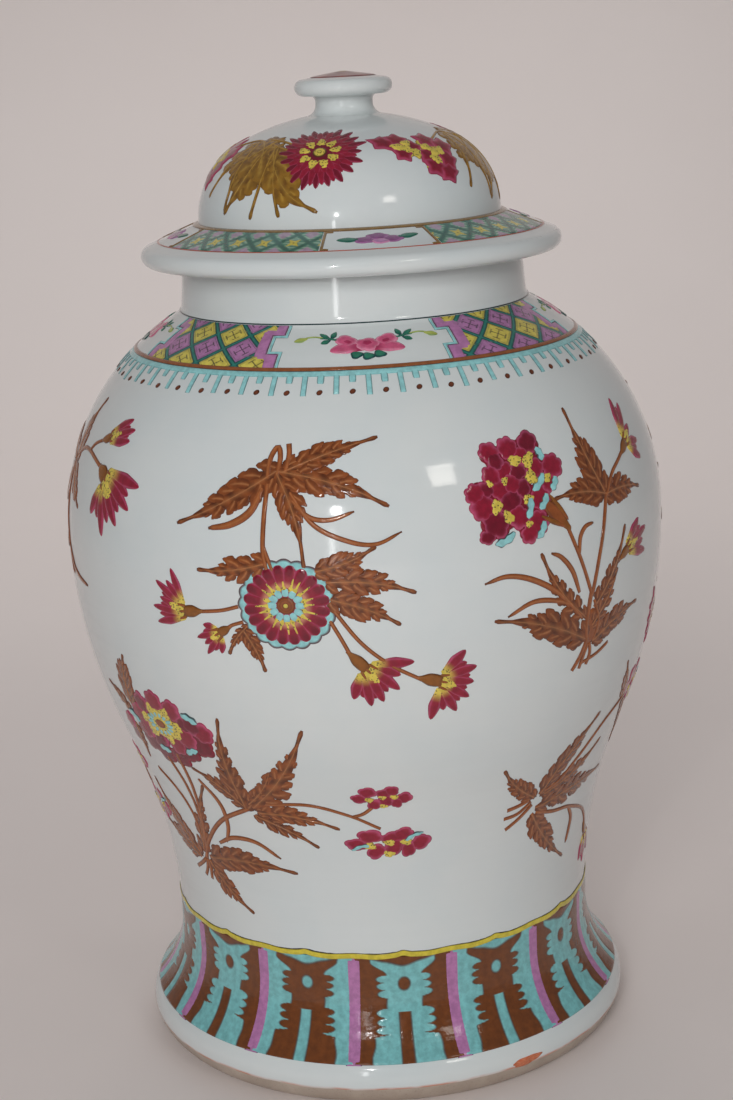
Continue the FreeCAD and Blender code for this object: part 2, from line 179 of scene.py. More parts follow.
def smooth(points, step=STEP):
    """A smooth line through the points, in even steps."""
    points = np.array(points, float)
    if len(points) == 2:
        k = np.linspace(0, 1, 40)[:, None]
        fine = np.vstack([a + k * (b - a) for a, b in zip(points, points[1:])])
    else:
        padded = np.vstack([2 * points[0] - points[1], points, 2 * points[-1] - points[-2]])
        k = np.linspace(0, 1, 24, endpoint=False)[:, None]
        runs = []
        for a, b, c, d in zip(padded, padded[1:], padded[2:], padded[3:]):
            runs.append(0.5 * (2 * b + (c - a) * k + (2 * a - 5 * b + 4 * c - d) * k**2
                               + (3 * b - a - 3 * c + d) * k**3))
        fine = np.vstack(runs + [points[-1:]])
    length = np.concatenate([[0], np.cumsum(np.hypot(*np.diff(fine, axis=0).T))])
    count = max(int(length[-1] / step) + 1, 8)
    even = np.linspace(0, length[-1], count)
    return np.stack([np.interp(even, length, fine[:, i]) for i in (0, 1)], -1)


def plain(paint):
    """A colour function that gives one paint."""
    return lambda t, v: np.broadcast_to(paint, np.broadcast_shapes(t.shape, v.shape) + (4,))


def outlined(paint, line, inside):
    """A colour function for a strip with a thin line along both edges."""
    return lambda t, v: mix(paint, line, ramp(np.abs(v), inside, inside + LINE_BLUR))


def rimmed(paint, line, inside):
    """A colour function for a button with a thin line round it."""
    return lambda share, angle: mix(paint, line, ramp(share, inside, inside + LINE_BLUR))


def direction(start, end):
    """The start, the way to the end and the same way turned to the left, as arrays."""
    start, end = np.array(start, float), np.array(end, float)
    way = end - start
    return start, way, np.array([-way[1], way[0]])


class Enamel:
    """One piece of painting: shells on one wall, drawn from an azimuth and a distance up it."""

    def __init__(self, name, wall, body, azimuth=0.0, along=0.0, mirror=False, size=1.0):
        self.name = name
        self.wall = wall
        self.body = body
        self.azimuth = azimuth
        self.base = along
        self.size = size
        self.mirror = mirror
        self.points = []
        self.paints = []
        self.faces = []
        self.count = 0
        self.chance = np.random.default_rng(SEED + sum(map(ord, name)))

    def add(self, x, y, lift, paint):
        """Adds points and gives the number of the first."""
        x, y = x * self.size, y * self.size
        along = self.base + y
        side = -1 if self.mirror else 1
        azimuth = self.azimuth + side * np.degrees(x / self.wall.radius(along))
        return self.add_round(azimuth, along, lift, paint)

    def add_round(self, azimuth, along, lift, paint):
        """Adds points given by azimuth and distance up the outline."""
        azimuth, along, lift = np.broadcast_arrays(azimuth, along, lift)
        points = self.wall.place(azimuth, along, lift).reshape(-1, 3)
        paint = np.broadcast_to(paint, azimuth.shape + (4,)).reshape(-1, 4)
        first = self.count
        self.points.append(points)
        self.paints.append(paint)
        self.count += len(points)
        return first

    def close_strip(self, first, bottom, rows, columns, flip):
        """The faces of a shell: a grid on top, a wall round it and a floor under it."""
        top = first + np.arange(rows * columns).reshape(rows, columns)
        right = bottom + 2 * np.arange(rows)
        left = right + 1
        def quads(a, b, c, d):
            return np.stack([a.ravel(), b.ravel(), c.ravel(), d.ravel()], -1).tolist()
        faces = quads(top[:-1, :-1], top[1:, :-1], top[1:, 1:], top[:-1, 1:])
        faces += quads(top[:-1, -1], top[1:, -1], left[1:], left[:-1])
        faces += quads(top[1:, 0], top[:-1, 0], right[:-1], right[1:])
        faces += quads(left[:-1], left[1:], right[1:], right[:-1])
        faces.append(top[0].tolist() + [int(left[0]), int(right[0])])
        faces.append(top[-1, ::-1].tolist() + [int(right[-1]), int(left[-1])])
        self.faces += [face[::-1] for face in faces] if flip else faces

    def strip(self, spine, half, paint, height=0.45, across=7, step=STEP, flat=2):
        """A raised band along a smooth spine. half(t) is its half width and paint(t, v) its colour,
        where t runs from 0 to 1 along it and v from -1 to 1 across it."""
        line = smooth(spine, step)
        t = np.linspace(0, 1, len(line))
        way = np.gradient(line, axis=0)
        way /= np.hypot(way[:, 0], way[:, 1])[:, None] + 1e-9
        width = np.maximum(half(t), THINNEST) + 0 * t
        v = np.linspace(-1, 1, across)
        out = width[:, None] * v
        x = line[:, :1] - way[:, 1:] * out
        y = line[:, 1:] + way[:, :1] * out
        ends = ramp(np.minimum(t, 1 - t) * len(line) * step, 0, 2.2)[:, None] * 0.8 + 0.2
        lift = EDGE_LIFT + (height - EDGE_LIFT) * np.sqrt(np.maximum(1 - np.abs(v) ** (2 * flat), 0)) * ends
        paints = paint(*np.broadcast_arrays(t[:, None], v))
        first = self.add(x, y, lift, paints)
        sides = (0, -1)
        bottom = self.add(x[:, sides], y[:, sides], SUNK, paints[:, sides])
        self.close_strip(first, bottom, len(line), across, self.mirror)

    def button(self, x, y, reach, paint, height=0.45, spokes=40, rings=6, stretch=1.0, turn=0.0):
        """A raised round patch. reach(angle) is its radius and paint(share, angle) its colour, where
        share runs from 0 in the middle to 1 at the rim."""
        angle = np.linspace(0, 2 * math.pi, spokes, endpoint=False)
        share = np.linspace(0, 1, rings + 1)[1:, None]
        radius = share * (reach(angle) + 0 * angle)
        flat_x, flat_y = radius * np.cos(angle), radius * np.sin(angle) * stretch
        c, s = math.cos(math.radians(turn)), math.sin(math.radians(turn))
        gx, gy = x + c * flat_x - s * flat_y, y + s * flat_x + c * flat_y
        lift = EDGE_LIFT + (height - EDGE_LIFT) * np.sqrt(1 - share**4)
        paints = paint(*np.broadcast_arrays(share, angle))
        middle = self.add(np.array([x]), np.array([y]), height, paints[:1, 0])
        first = self.add(gx, gy, lift, paints)
        bottom = self.add(gx[-1], gy[-1], SUNK, paints[-1])
        floor = self.add(np.array([x]), np.array([y]), SUNK, paints[:1, 0])
        faces = []
        for k in range(spokes):
            n = (k + 1) % spokes
            faces.append([middle, first + k, first + n])
            for ring in range(rings - 1):
                inner, outer = first + ring * spokes, first + (ring + 1) * spokes
                faces.append([inner + k, outer + k, outer + n, inner + n])
            rim = first + (rings - 1) * spokes
            faces.append([rim + k, bottom + k, bottom + n, rim + n])
            faces.append([floor, bottom + n, bottom + k])
        self.faces += [face[::-1] for face in faces] if self.mirror else faces

    def panel(self, middle, half, alongs, paint, lift, step=0.6):
        """A stretch of a band round an azimuth. half(up) is its half width in degrees, and
        paint(offset, up) gives its colour and relief at degrees from the middle and a share up it."""
        rows = max(int(abs(alongs[1] - alongs[0]) / step), 3)
        up = np.linspace(0, 1, rows)[:, None]
        half_width = half(up) + 0 * up
        widest = math.radians(float(np.max(half_width))) * self.wall.radius(sum(alongs) / 2)
        columns = max(int(2 * widest / step), 4)
        share = np.linspace(1, -1, columns)[None, :]
        offset = half_width * share
        along = alongs[0] + up * (alongs[1] - alongs[0])
        paints, relief = paint(offset, np.broadcast_to(up, offset.shape))
        edge = np.minimum((1 - np.abs(share)) * columns / 2, np.minimum(up, 1 - up) * rows)
        lifts = EDGE_LIFT + (lift - EDGE_LIFT + relief) * ramp(edge, -0.5, 2)
        first = self.add_round(middle + offset, along, lifts, paints)
        sides = (0, -1)
        bottom = self.add_round(middle + offset[:, sides], along, SUNK, paints[:, sides])
        self.close_strip(first, bottom, rows, columns, False)

    def finish(self):
        """Makes the mesh and hangs it on its body."""
        mesh = bpy.data.meshes.new(self.name)
        mesh.from_pydata(np.vstack(self.points).tolist(), [], self.faces)
        paint = mesh.color_attributes.new("paint", "FLOAT_COLOR", "POINT")
        paint.data.foreach_set("color", np.vstack(self.paints).astype(np.float32).ravel())
        mesh.polygons.foreach_set("use_smooth", [True] * len(mesh.polygons))
        mesh.materials.append(ENAMEL)
        mesh.update()
        piece = bpy.data.objects.new(self.name, mesh)
        bpy.context.scene.collection.objects.link(piece)
        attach(piece, self.body)
        return piece


# ---- Materials ----

class Nodes:
    """A material's node tree, with a short method for each node type that the materials use."""

    def __init__(self, name):
        self.material = bpy.data.materials.new(name)
        self.material.use_nodes = True
        self.tree = self.material.node_tree
        self.shader = self.tree.nodes["Principled BSDF"]

    def new(self, kind, **settings):
        node = self.tree.nodes.new("ShaderNode" + kind)
        for key, value in settings.items():
            setattr(node, key, value)
        return node

    def link(self, source, target):
        self.tree.links.new(source, target)

    def feed(self, socket, value):
        """Links a socket, or sets it to a number, a vector or a paint."""
        if isinstance(value, bpy.types.NodeSocket):
            self.link(value, socket)
        elif isinstance(value, np.ndarray):
            socket.default_value = (*(float(part) for part in value[:3]), 1.0)
        else:
            socket.default_value = value

    def fill(self, node, **values):
        """Feeds a node's inputs by name, where _ stands for a space."""
        for name, value in values.items():
            self.feed(node.inputs[name.replace("_", " ")], value)

    def maths(self, operation, first, second=0.0):
        node = self.new("Math", operation=operation)
        self.feed(node.inputs[0], first)
        self.feed(node.inputs[1], second)
        return node.outputs[0]

    def noise(self, where, scale, detail=3.0, roughness=0.5):
        node = self.new("TexNoise")
        self.fill(node, Vector=where, Scale=scale, Detail=detail, Roughness=roughness)
        return node.outputs["Fac"]

    def cells(self, where, scale):
        """The distance to the nearest of scattered points, and a random colour for each."""
        node = self.new("TexVoronoi")
        self.fill(node, Vector=where, Scale=scale)
        return node.outputs["Distance"], node.outputs["Color"]

    def step(self, value, low, high, to_low=0.0, to_high=1.0):
        """A smooth step of a value from one range to another."""
        node = self.new("MapRange", interpolation_type="SMOOTHSTEP")
        self.fill(node, Value=value, From_Min=low, From_Max=high, To_Min=to_low, To_Max=to_high)
        return node.outputs[0]

    def blend(self, amount, first, second, way="MIX"):
        node = self.new("Mix", data_type="RGBA", blend_type=way)
        self.feed(node.inputs["Factor"], amount)
        self.feed(node.inputs[6], first)
        self.feed(node.inputs[7], second)
        return node.outputs[2]

    def bump(self, height, strength, distance, after=None):
        node = self.new("Bump")
        self.fill(node, Strength=strength, Distance=distance, Height=height)
        if after is not None:
            self.fill(node, Normal=after)
        return node.outputs["Normal"]


# Where the foot has no glaze, in metres: up to the wiped edge, and in the recess under the floor.
WIPED_EDGE = 0.0100
RECESS_TOP = 0.0281
RECESS_RADIUS = 0.1128


def glaze_material():
    """White porcelain under a glossy, faintly blue-green glaze, bare where the foot was wiped."""
    n = Nodes("glazed_porcelain")
    where = n.new("TexCoord").outputs["Object"]
    parts = n.new("SeparateXYZ")
    n.link(where, parts.inputs[0])
    flat = n.new("VectorMath", operation="MULTIPLY")
    n.link(where, flat.inputs[0])
    flat.inputs[1].default_value = (1, 1, 0)
    span = n.new("VectorMath", operation="LENGTH")
    n.link(flat.outputs[0], span.inputs[0])
    radius, level = span.outputs["Value"], parts.outputs["Z"]

    tint = n.blend(n.noise(where, 9.0, 2.0), colour(214, 221, 222), colour(222, 226, 224))
    pools = n.step(n.noise(where, 26.0, 4.0), 0.35, 0.8, 0.0, 0.35)
    tint = n.blend(pools, tint, colour(204, 216, 219))
    distance, lot = n.cells(where, 48.0)
    chosen = n.new("SeparateColor")
    n.link(lot, chosen.inputs[0])
    few = n.step(chosen.outputs[0], 0.10, 0.12, 1.0, 0.0)
    size = n.maths("MULTIPLY_ADD", chosen.outputs[1], 0.016)
    size.node.inputs[2].default_value = 0.008
    speck = n.maths("MULTIPLY", n.maths("LESS_THAN", distance, size), few)
    tint = n.blend(n.maths("MULTIPLY", speck, 0.75), tint, colour(92, 84, 78))

    ragged = n.maths("MULTIPLY_ADD", n.noise(where, 40.0, 3.0), 0.0022)
    ragged.node.inputs[2].default_value = WIPED_EDGE
    wiped = n.maths("LESS_THAN", level, ragged)
    below = n.maths("LESS_THAN", level, RECESS_TOP)
    recess = n.maths("MULTIPLY", below, n.maths("LESS_THAN", radius, RECESS_RADIUS))
    bare = n.maths("MAXIMUM", wiped, recess)
    scorch = n.step(n.maths("SUBTRACT", level, ragged), 0.0, 0.0016, 1.0, 0.0)
    scorch = n.maths("MULTIPLY", scorch, n.step(n.noise(where, 60.0, 2.0), 0.35, 0.6, 0.25, 0.9))
    tint = n.blend(scorch, tint, colour(196, 110, 70))
    grit = n.noise(where, 900.0, 4.0, 0.7)
    biscuit = n.blend(n.noise(where, 70.0, 5.0), colour(150, 132, 118), colour(196, 182, 168))
    biscuit = n.blend(n.step(grit, 0.55, 0.75, 0.0, 0.5), biscuit, colour(112, 92, 78))
    n.link(n.blend(bare, tint, biscuit), n.shader.inputs["Base Color"])
    gloss = n.step(n.noise(where, 15.0, 3.0), 0.3, 0.7, 0.075, 0.13)
    rough = n.new("Mix", data_type="FLOAT")
    n.link(bare, rough.inputs["Factor"])
    n.link(gloss, rough.inputs[2])
    rough.inputs[3].default_value = 0.78
    n.link(rough.outputs[0], n.shader.inputs["Roughness"])

    stretched = n.new("Mapping")
    n.link(where, stretched.inputs["Vector"])
    stretched.inputs["Scale"].default_value = (1.2, 1.2, 16.0)
    turning = n.noise(stretched.outputs[0], 5.0, 2.0)
    relief = n.bump(turning, 0.35, 0.0012)
    relief = n.bump(n.noise(where, 34.0, 1.0), 0.30, 0.0005, relief)
    relief = n.bump(n.noise(where, 420.0, 1.0), 0.10, 0.0001, relief)
    n.link(relief, n.shader.inputs["Normal"])
    n.fill(n.shader, IOR=1.52, Coat_Weight=0.35, Coat_Roughness=0.05)
    return n.material


def bare_material():
    """Unglazed porcelain, for the ring under the lid."""
    n = Nodes("bare_porcelain")
    where = n.new("TexCoord").outputs["Object"]
    tint = n.blend(n.noise(where, 55.0, 5.0), colour(214, 204, 188), colour(188, 168, 148))
    dirt = n.step(n.noise(where, 600.0, 4.0, 0.7), 0.55, 0.8, 0.0, 0.45)
    n.link(n.blend(dirt, tint, colour(140, 116, 96)), n.shader.inputs["Base Color"])
    n.fill(n.shader, Roughness=0.72)
    n.link(n.bump(n.noise(where, 700.0, 3.0), 0.4, 0.0003), n.shader.inputs["Normal"])
    return n.material


def enamel_material():
    """Glassy overglaze enamel: the paint comes from the mesh, mottled, pitted and stippled."""
    n = Nodes("overglaze_enamel")
    where = n.new("TexCoord").outputs["Object"]
    paint = n.new("Attribute", attribute_name="paint")
    mottle = n.step(n.noise(where, 330.0, 4.0, 0.6), 0.3, 0.7, 0.82, 1.10)
    shade = n.new("CombineColor")
    for socket in shade.inputs:
        n.link(mottle, socket)
    tint = n.blend(1.0, paint.outputs["Color"], shade.outputs[0], "MULTIPLY")
    distance = n.cells(where, 760.0)[0]
    dots = n.maths("MULTIPLY", n.step(distance, 0.26, 0.36, 0.85, 0.0), paint.outputs["Alpha"])
    tint = n.blend(dots, tint, INK)
    n.link(tint, n.shader.inputs["Base Color"])
    n.link(n.step(n.noise(where, 150.0, 3.0), 0.3, 0.7, 0.09, 0.22), n.shader.inputs["Roughness"])
    relief = n.bump(n.noise(where, 420.0, 3.0), 0.45, 0.00025)
    n.link(relief, n.shader.inputs["Normal"])
    n.fill(n.shader, IOR=1.54, Coat_Weight=0.25, Coat_Roughness=0.06)
    return n.material


def floor_material():
    """Matt pale card, very slightly uneven."""
    n = Nodes("floor")
    where = n.new("TexCoord").outputs["Object"]
    tint = n.blend(n.noise(where, 3.0, 4.0), colour(234, 224, 220), colour(240, 231, 227))
    n.link(tint, n.shader.inputs["Base Color"])
    n.fill(n.shader, Roughness=0.75)
    return n.material


GLAZE = glaze_material()
BARE = bare_material()
ENAMEL = enamel_material()


def glaze_nodes():
    """The CAD nodes stay, with their materials made good."""
    for name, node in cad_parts.items():
        node.data.materials.clear()
        node.data.materials.append(BARE if name == "lid_collar" else GLAZE)


# ---- What the painter draws with: leaves, blades, stems, petals ----

def lobe_paint(paints):
    """One lobe of a leaf: dark at its root and round its rim, pale along its vein."""
    body, dark, pale = paints
    def paint_at(t, v):
        side = np.abs(v)
        paint = mix(body, dark, (1 - ramp(t, 0.35, 0.85)) * ramp(side, 0.10, 0.45) * 0.6)
        paint = mix(paint, pale, (1 - ramp(side, 0.06, 0.22)) * 0.45 * (1 - ramp(t, 0.60, 0.85)))
        rim = np.maximum(ramp(side, 0.74, 0.95), ramp(t, 0.88, 0.99))
        return mix(paint, dark, rim * 0.6)
    return paint_at


def leaf(e, base, tip, width, lobes, bend, paints=BROWNS, tail=0.13, plump=1.0):
    """A leaf, widest before its middle, of forward-swept lobes in pairs and a narrow blunt finger.
    bend bows it sideways, tail is the finger's share of it and plump rounds the lobes."""
    base, way, side = direction(base, tip)
    bow = side * bend * 0.9
    line = smooth([base, base + way * 0.35 + bow, base + way * 0.7 + bow, tip], 0.5)
    run = np.gradient(line, axis=0)
    run /= np.hypot(run[:, 0], run[:, 1])[:, None]
    length = math.hypot(*way)
    shade = e.chance.uniform(0.0, 0.30)
    paints = (mix(paints[0], paints[1], shade), paints[1], paints[2])
    paint = lobe_paint(paints)
    blade_share = 1 - tail

    def envelope(t):
        body = np.clip(t / blade_share, 0.02, 1)
        return np.sin(math.pi * body ** 0.72) ** 0.6

    def middle(t):
        finger = (0.9 + 0.25 * ramp(t, 0.88, 0.97)) * np.clip(t / 0.05, 0.6, 1)
        return np.maximum(width * 0.25 * envelope(t), finger) * np.clip((1 - t) / 0.03, 0.3, 1) ** 0.5

    def middle_paint(t, v):
        tone = mix(paints[1], paints[0], 0.55 + 0.45 * np.sin(t * 40 + 2 * v))
        tone = mix(tone, paints[2], (1 - ramp(np.abs(v), 0.1, 0.35)) * 0.35)
        return mix(tone, mix(paints[0], paints[1], 0.6),
                   np.maximum(ramp(t, 0.93, 1), 0.6 * ramp(np.abs(v), 0.75, 1)))

    e.strip(line, middle, middle_paint, 0.36, 9, step=0.9, flat=4)
    pairs = lobes + 1
    for k in range(2 * pairs):
        pair, hand = divmod(k, 2)
        t = blade_share * (0.04 + 0.82 * (pair + 0.4 * hand + e.chance.uniform(-0.07, 0.07)) / pairs)
        reach = width * 0.57 * float(envelope(t + 0.10)) * e.chance.uniform(0.86, 1.14)
        spacing = blade_share * length * 0.82 / pairs
        angle = math.radians(47 - 20 * t + e.chance.uniform(-6, 6)) * (1 if hand else -1)
        spot = int(t * (len(line) - 1))
        ahead = run[spot]
        out = np.array([ahead[0] * math.cos(angle) - ahead[1] * math.sin(angle),
                        ahead[0] * math.sin(angle) + ahead[1] * math.cos(angle)])
        start = line[spot] - ahead * 0.8
        elbow = start + out * reach * 0.62 - ahead * reach * 0.06
        end = start + out * reach * 1.18 + ahead * reach * 0.26
        phase = e.chance.uniform(0, 1)
        half_width = min(spacing * 0.50, reach * 0.40) * plump
        def half(t):
            notch = np.abs(np.cos(math.pi * (2.4 * t + phase))) ** 8
            swell = 0.72 + 0.28 * ramp(t, 0, 0.45)
            return half_width * swell * np.clip((1 - t) / 0.42, 0, 1) ** (0.62 / plump) * (1 - 0.28 * notch)
        e.strip([start, elbow, end], half, paint, 0.34 + 0.010 * (k % 5), 9, step=0.6, flat=4)
    rib = line[: int(len(line) * 0.9): 6]
    e.strip(rib, lambda t: 0.40 * (1 - 0.5 * t), plain(mix(paints[0], paints[2], 0.45)), 0.52, 5)


def stem(e, spine, width, end=None, paints=BROWNS):
    """A stem of even width, or one that tapers to an end width."""
    end = width if end is None else end
    def paint_at(t, v):
        paint = mix(paints[0], paints[1], 0.55 * ramp(np.abs(v), 0.45, 0.9))
        return mix(paint, paints[2], 0.4 * (1 - ramp(np.abs(v - 0.15), 0.0, 0.35)))
    e.strip(spine, lambda t: 0.5 * (width + (end - width) * t), paint_at, 0.5, 7)


def blade(e, spine, width):
    """A grass-like blade with a blunt, darker tip."""
    def half(t):
        swell = 0.62 + 0.38 * np.sin(math.pi * np.clip(t * 1.05, 0, 1)) ** 0.8
        return 0.55 * width * swell * np.clip((1 - t) / 0.06, 0.3, 1) ** 0.5
    def paint_at(t, v):
        paint = mix(BROWN, BROWN_PALE, 0.35 * (1 - ramp(np.abs(v), 0.0, 0.5)))
        return mix(paint, BROWN_DARK, 0.8 * np.maximum(ramp(t, 0.9, 1), ramp(np.abs(v), 0.7, 1)))
    e.strip(spine, half, paint_at, 0.48, 7)


def petal(e, base, tip, width, deep=MAGENTA, edge=PINK, root=None, height=0.5, bend=0.0, round_end=0.5,
          root_width=0.34):
    """A petal that widens towards its round tip, deep in the middle and pale at the rim."""
    base, way, side = direction(base, tip)
    spine = [base, base + way * 0.5 + side * bend, tip]
    line = MAGENTA_DEEP if deep is MAGENTA else deep
    def half(t):
        swell = root_width + (1 - root_width) * ramp(t, 0.0, 0.62)
        swell = swell * np.sqrt(np.clip((1 - t) / round_end, 0.0, 1))
        return 0.5 * width * np.sqrt(np.clip(t / 0.04, 0.05, 1)) * swell
    def paint_at(t, v):
        paint = mix(deep, edge, ramp(np.abs(v), 0.45, 0.85) * 0.7)
        paint = mix(paint, line, ramp(np.abs(v), 0.86, 1.0) * 0.5)
        return mix(root, paint, ramp(t, 0.10, 0.46))
    e.strip(spine, half, paint_at, height, 9, step=0.7)


def lobe_patch(e, x, y, size, height, deep=MAGENTA, edge=PINK, lobes=5, stretch=0.9, turn=0.0):
    """A rounded cluster petal with a lobed rim."""
    phase = e.chance.uniform(0, 6.28)
    def reach(angle):
        return size * (0.84 + 0.20 * np.abs(np.cos(lobes * (angle + phase) / 2)) ** 0.7)
    def paint_at(share, angle):
        tone = np.sin(angle - phase) * 0.5 + 0.5
        paint = mix(deep, edge, 0.75 * ramp(share, 0.66, 0.92))
        paint = mix(paint, edge, 0.55 * ramp(tone * share, 0.40, 0.85))
        return mix(paint, deep, 0.6 * ramp(share, 0.93, 1.0))
    e.button(x, y, reach, paint_at, height, 44, 7, stretch, turn)


def yellow_patch(e, x, y, size, height, stretch=0.8, turn=0.0):
    """A stippled yellow heart with a wavy brown rim."""
    phase = e.chance.uniform(0, 6.28)
    def reach(angle):
        return size * (0.92 + 0.14 * np.sin(3 * angle + phase) + 0.08 * np.sin(7 * angle))
    def paint_at(share, angle):
        return mix(YELLOW, mix(YELLOW, BROWN_DARK, 0.7), ramp(share, 0.84, 1.0))
    e.button(x, y, reach, paint_at, height, 32, 6, stretch, turn)


def slip(e, start, end, width=4.6, height=0.80):
    """A turquoise turned-over petal edge with a dark outline and a wavy rim."""
    start, way, side = direction(start, end)
    spine = [start, start + way * 0.5 + side * 0.10, end]
    def half(t):
        round_off = np.sqrt(np.clip(np.minimum(t, 1 - t) / 0.20, 0.02, 1))
        return 0.5 * width * round_off * (0.86 + 0.16 * np.cos(t * 17))
    def paint_at(t, v):
        rim = np.maximum(ramp(np.abs(v), 0.68, 0.84), ramp(np.abs(t - 0.5), 0.455, 0.48))
        return mix(TURQUOISE, INK, rim * 0.9)
    e.strip(spine, half, paint_at, height, 13, step=0.5, flat=4)


# ---- Flowers ----

def round_flower(e, x, y, size, stretch):
    """The full-face chrysanthemum: a scalloped turquoise rim, petals, rays and a ringed centre."""
    petals = 20
    def spot(radius, angle):
        return (x + radius * math.cos(angle), y + radius * math.sin(angle) * stretch)
    def rim(angle):
        return size * (0.95 + 0.055 * np.abs(np.cos(petals * angle / 2)))
    line_paint = mix(INK, MAGENTA_DEEP, 0.55)
    def rim_paint(share, angle):
        body = mix(mix(MAGENTA, PINK, 0.35), TURQUOISE, ramp(share, 0.79, 0.81))
        return mix(body, line_paint, ramp(share, 0.950, 0.975))
    e.button(x, y, rim, rim_paint, 0.40, petals * 8, 30, stretch)
    def petal_paint(t, v):
        side = np.abs(v)
        paint = mix(MAGENTA, MAGENTA_DEEP, ramp(t, 0.30, 0.75) * (1 - ramp(side, 0.3, 0.7)))
        paint = mix(paint, PINK, ramp(side, 0.62, 0.84) * 0.6)
        paint = mix(paint, PINK, ramp(t, 0.91, 0.97) * 0.4)
        paint = mix(paint, line_paint, ramp(side, 0.86, 1.0) * 0.8)
        return mix(mix(PINK, YELLOW_PLAIN, 0.35), paint, ramp(t, 0.10, 0.38))
    def petal_half(t):
        return size * 0.135 * (0.55 + 0.45 * ramp(t, 0, 0.7)) * np.sqrt(np.clip((1 - t) / 0.22, 0.0, 1))
    for k in range(petals):
        angle = 2 * math.pi * (k + 0.5) / petals
        e.strip([spot(size * 0.34, angle), spot(size * 0.895, angle)], petal_half, petal_paint, 0.62, 11,
                step=0.5)
    for k in range(petals):
        angle = 2 * math.pi * (k + e.chance.uniform(-0.2, 0.2)) / petals
        for reach, width in ((e.chance.uniform(0.54, 0.72), 0.075), (e.chance.uniform(0.44, 0.54), 0.14)):
            petal(e, spot(size * 0.28, angle), spot(size * reach, angle + 0.03), size * width, YELLOW,
                  YELLOW, YELLOW, 0.68, round_end=0.8, root_width=0.7)
    small = 12
    def small_paint(t, v):
        rim = np.maximum(ramp(np.abs(v), 0.78, 0.94), ramp(np.abs(t - 0.5), 0.43, 0.48))
        return mix(TURQUOISE, INK, 0.85 * rim)
    def small_half(t):
        return size * 0.078 * np.sqrt(np.clip(4 * t * (1 - t), 0.02, 1))
    for k in range(small):
        angle = 2 * math.pi * k / small
        e.strip([spot(size * 0.16, angle), spot(size * 0.41, angle)], small_half, small_paint, 0.78, 11,
                step=0.4)
    def heart(share, angle):
        rings = 0.5 + 0.5 * np.cos(share * 22)
        return mix(mix(BROWN, BROWN_DARK, 0.5 * rings), INK, 0.8 * ramp(share, 0.86, 0.97))
    e.button(x, y, lambda a: size * 0.20, heart, 0.84, 40, 10, stretch)
    e.button(x, y, lambda a: size * 0.06, plain(YELLOW_PLAIN), 1.0, 20, 4, stretch)


def bud(e, base, neck, tips, spread, petal_width):
    """A half-open flower in profile: a brown calyx, and petals that fan out from its mouth."""
    base, way, side = direction(base, neck)
    neck = np.array(neck, float)
    tips = [np.array(tip, float) for tip in tips]
    length = np.hypot(*way)
    side = side / length
    middle = sum(tips) / len(tips)
    hand = np.sign(np.dot(side, tips[-1] - tips[0])) or 1
    fan = []
    for k, (tip, after) in enumerate(zip(tips, tips[1:])):
        fan.append((k + 0.5, neck + ((tip + after) / 2 - neck) * 0.84, 0.44))
    fan += [(k, tip, 0.52 + 0.03 * (k % 3)) for k, tip in enumerate(tips)]
    for k, tip, height in fan:
        place = (k / max(len(tips) - 1, 1) - 0.5) * spread * 1.3
        foot = neck + side * place * hand
        petal(e, foot - way / length * 1.2, tip, petal_width * 1.12, MAGENTA, PINK, YELLOW, height,
              round_end=0.42, root_width=0.5)
    for reach, size in ((0.16, 0.62), (0.34, 0.66), (0.48, 0.42)):
        yellow_patch(e, *(neck + (middle - neck) * reach), spread * size, 0.60 + 0.1 * (0.5 - reach))
    def half(t):
        return 0.5 * (spread + 1.2) * (0.28 + 0.72 * ramp(t, 0, 0.55)) * (1 - 0.2 * ramp(t, 0.7, 1))
    def paint_at(t, v):
        return mix(CALYX, BROWN_DARK, np.maximum(ramp(np.abs(v), 0.7, 0.95), 0.5 * ramp(t, 0.75, 1)))
    e.strip([base - way / length * 1.6, base + way * 0.5, neck], half, paint_at, 0.72, 9)
    for k in (-1, 0, 1):
        start = neck + side * k * spread * 0.5
        petal(e, start - way / length * 2, start + way / length * 3.4 + side * k * 1.6, 2.0, BROWN,
              BROWN_DARK, CALYX, 0.80, round_end=0.8, root_width=0.8)


def cluster(e, lobes, yellows, slips):
    """A peony-like head: lobed petals laid over one another, yellow hearts and turquoise edges."""
    lowest, highest = 0.42, 0.62
    for x, y, size in lobes:
        lobe_patch(e, x * 0.9, y * 0.9, size * 1.15, 0.30, MAGENTA_DEEP, MAGENTA, 5)
    for k, (x, y, size) in enumerate(lobes):
        height = lowest + (highest - lowest) * ((k * 5) % 7) / 7
        lobe_patch(e, x, y, size * 1.04, height, MAGENTA if k % 3 else MAGENTA_DEEP, PINK, 5 + k % 3,
                   0.85 + 0.1 * (k % 3), 37 * k)
    for k, (x, y, size) in enumerate(yellows):
        yellow_patch(e, x, y, size * 1.45, 0.70 + 0.02 * (k % 3), 0.75, 61 * k)
    for start, end in slips:
        slip(e, start, end)


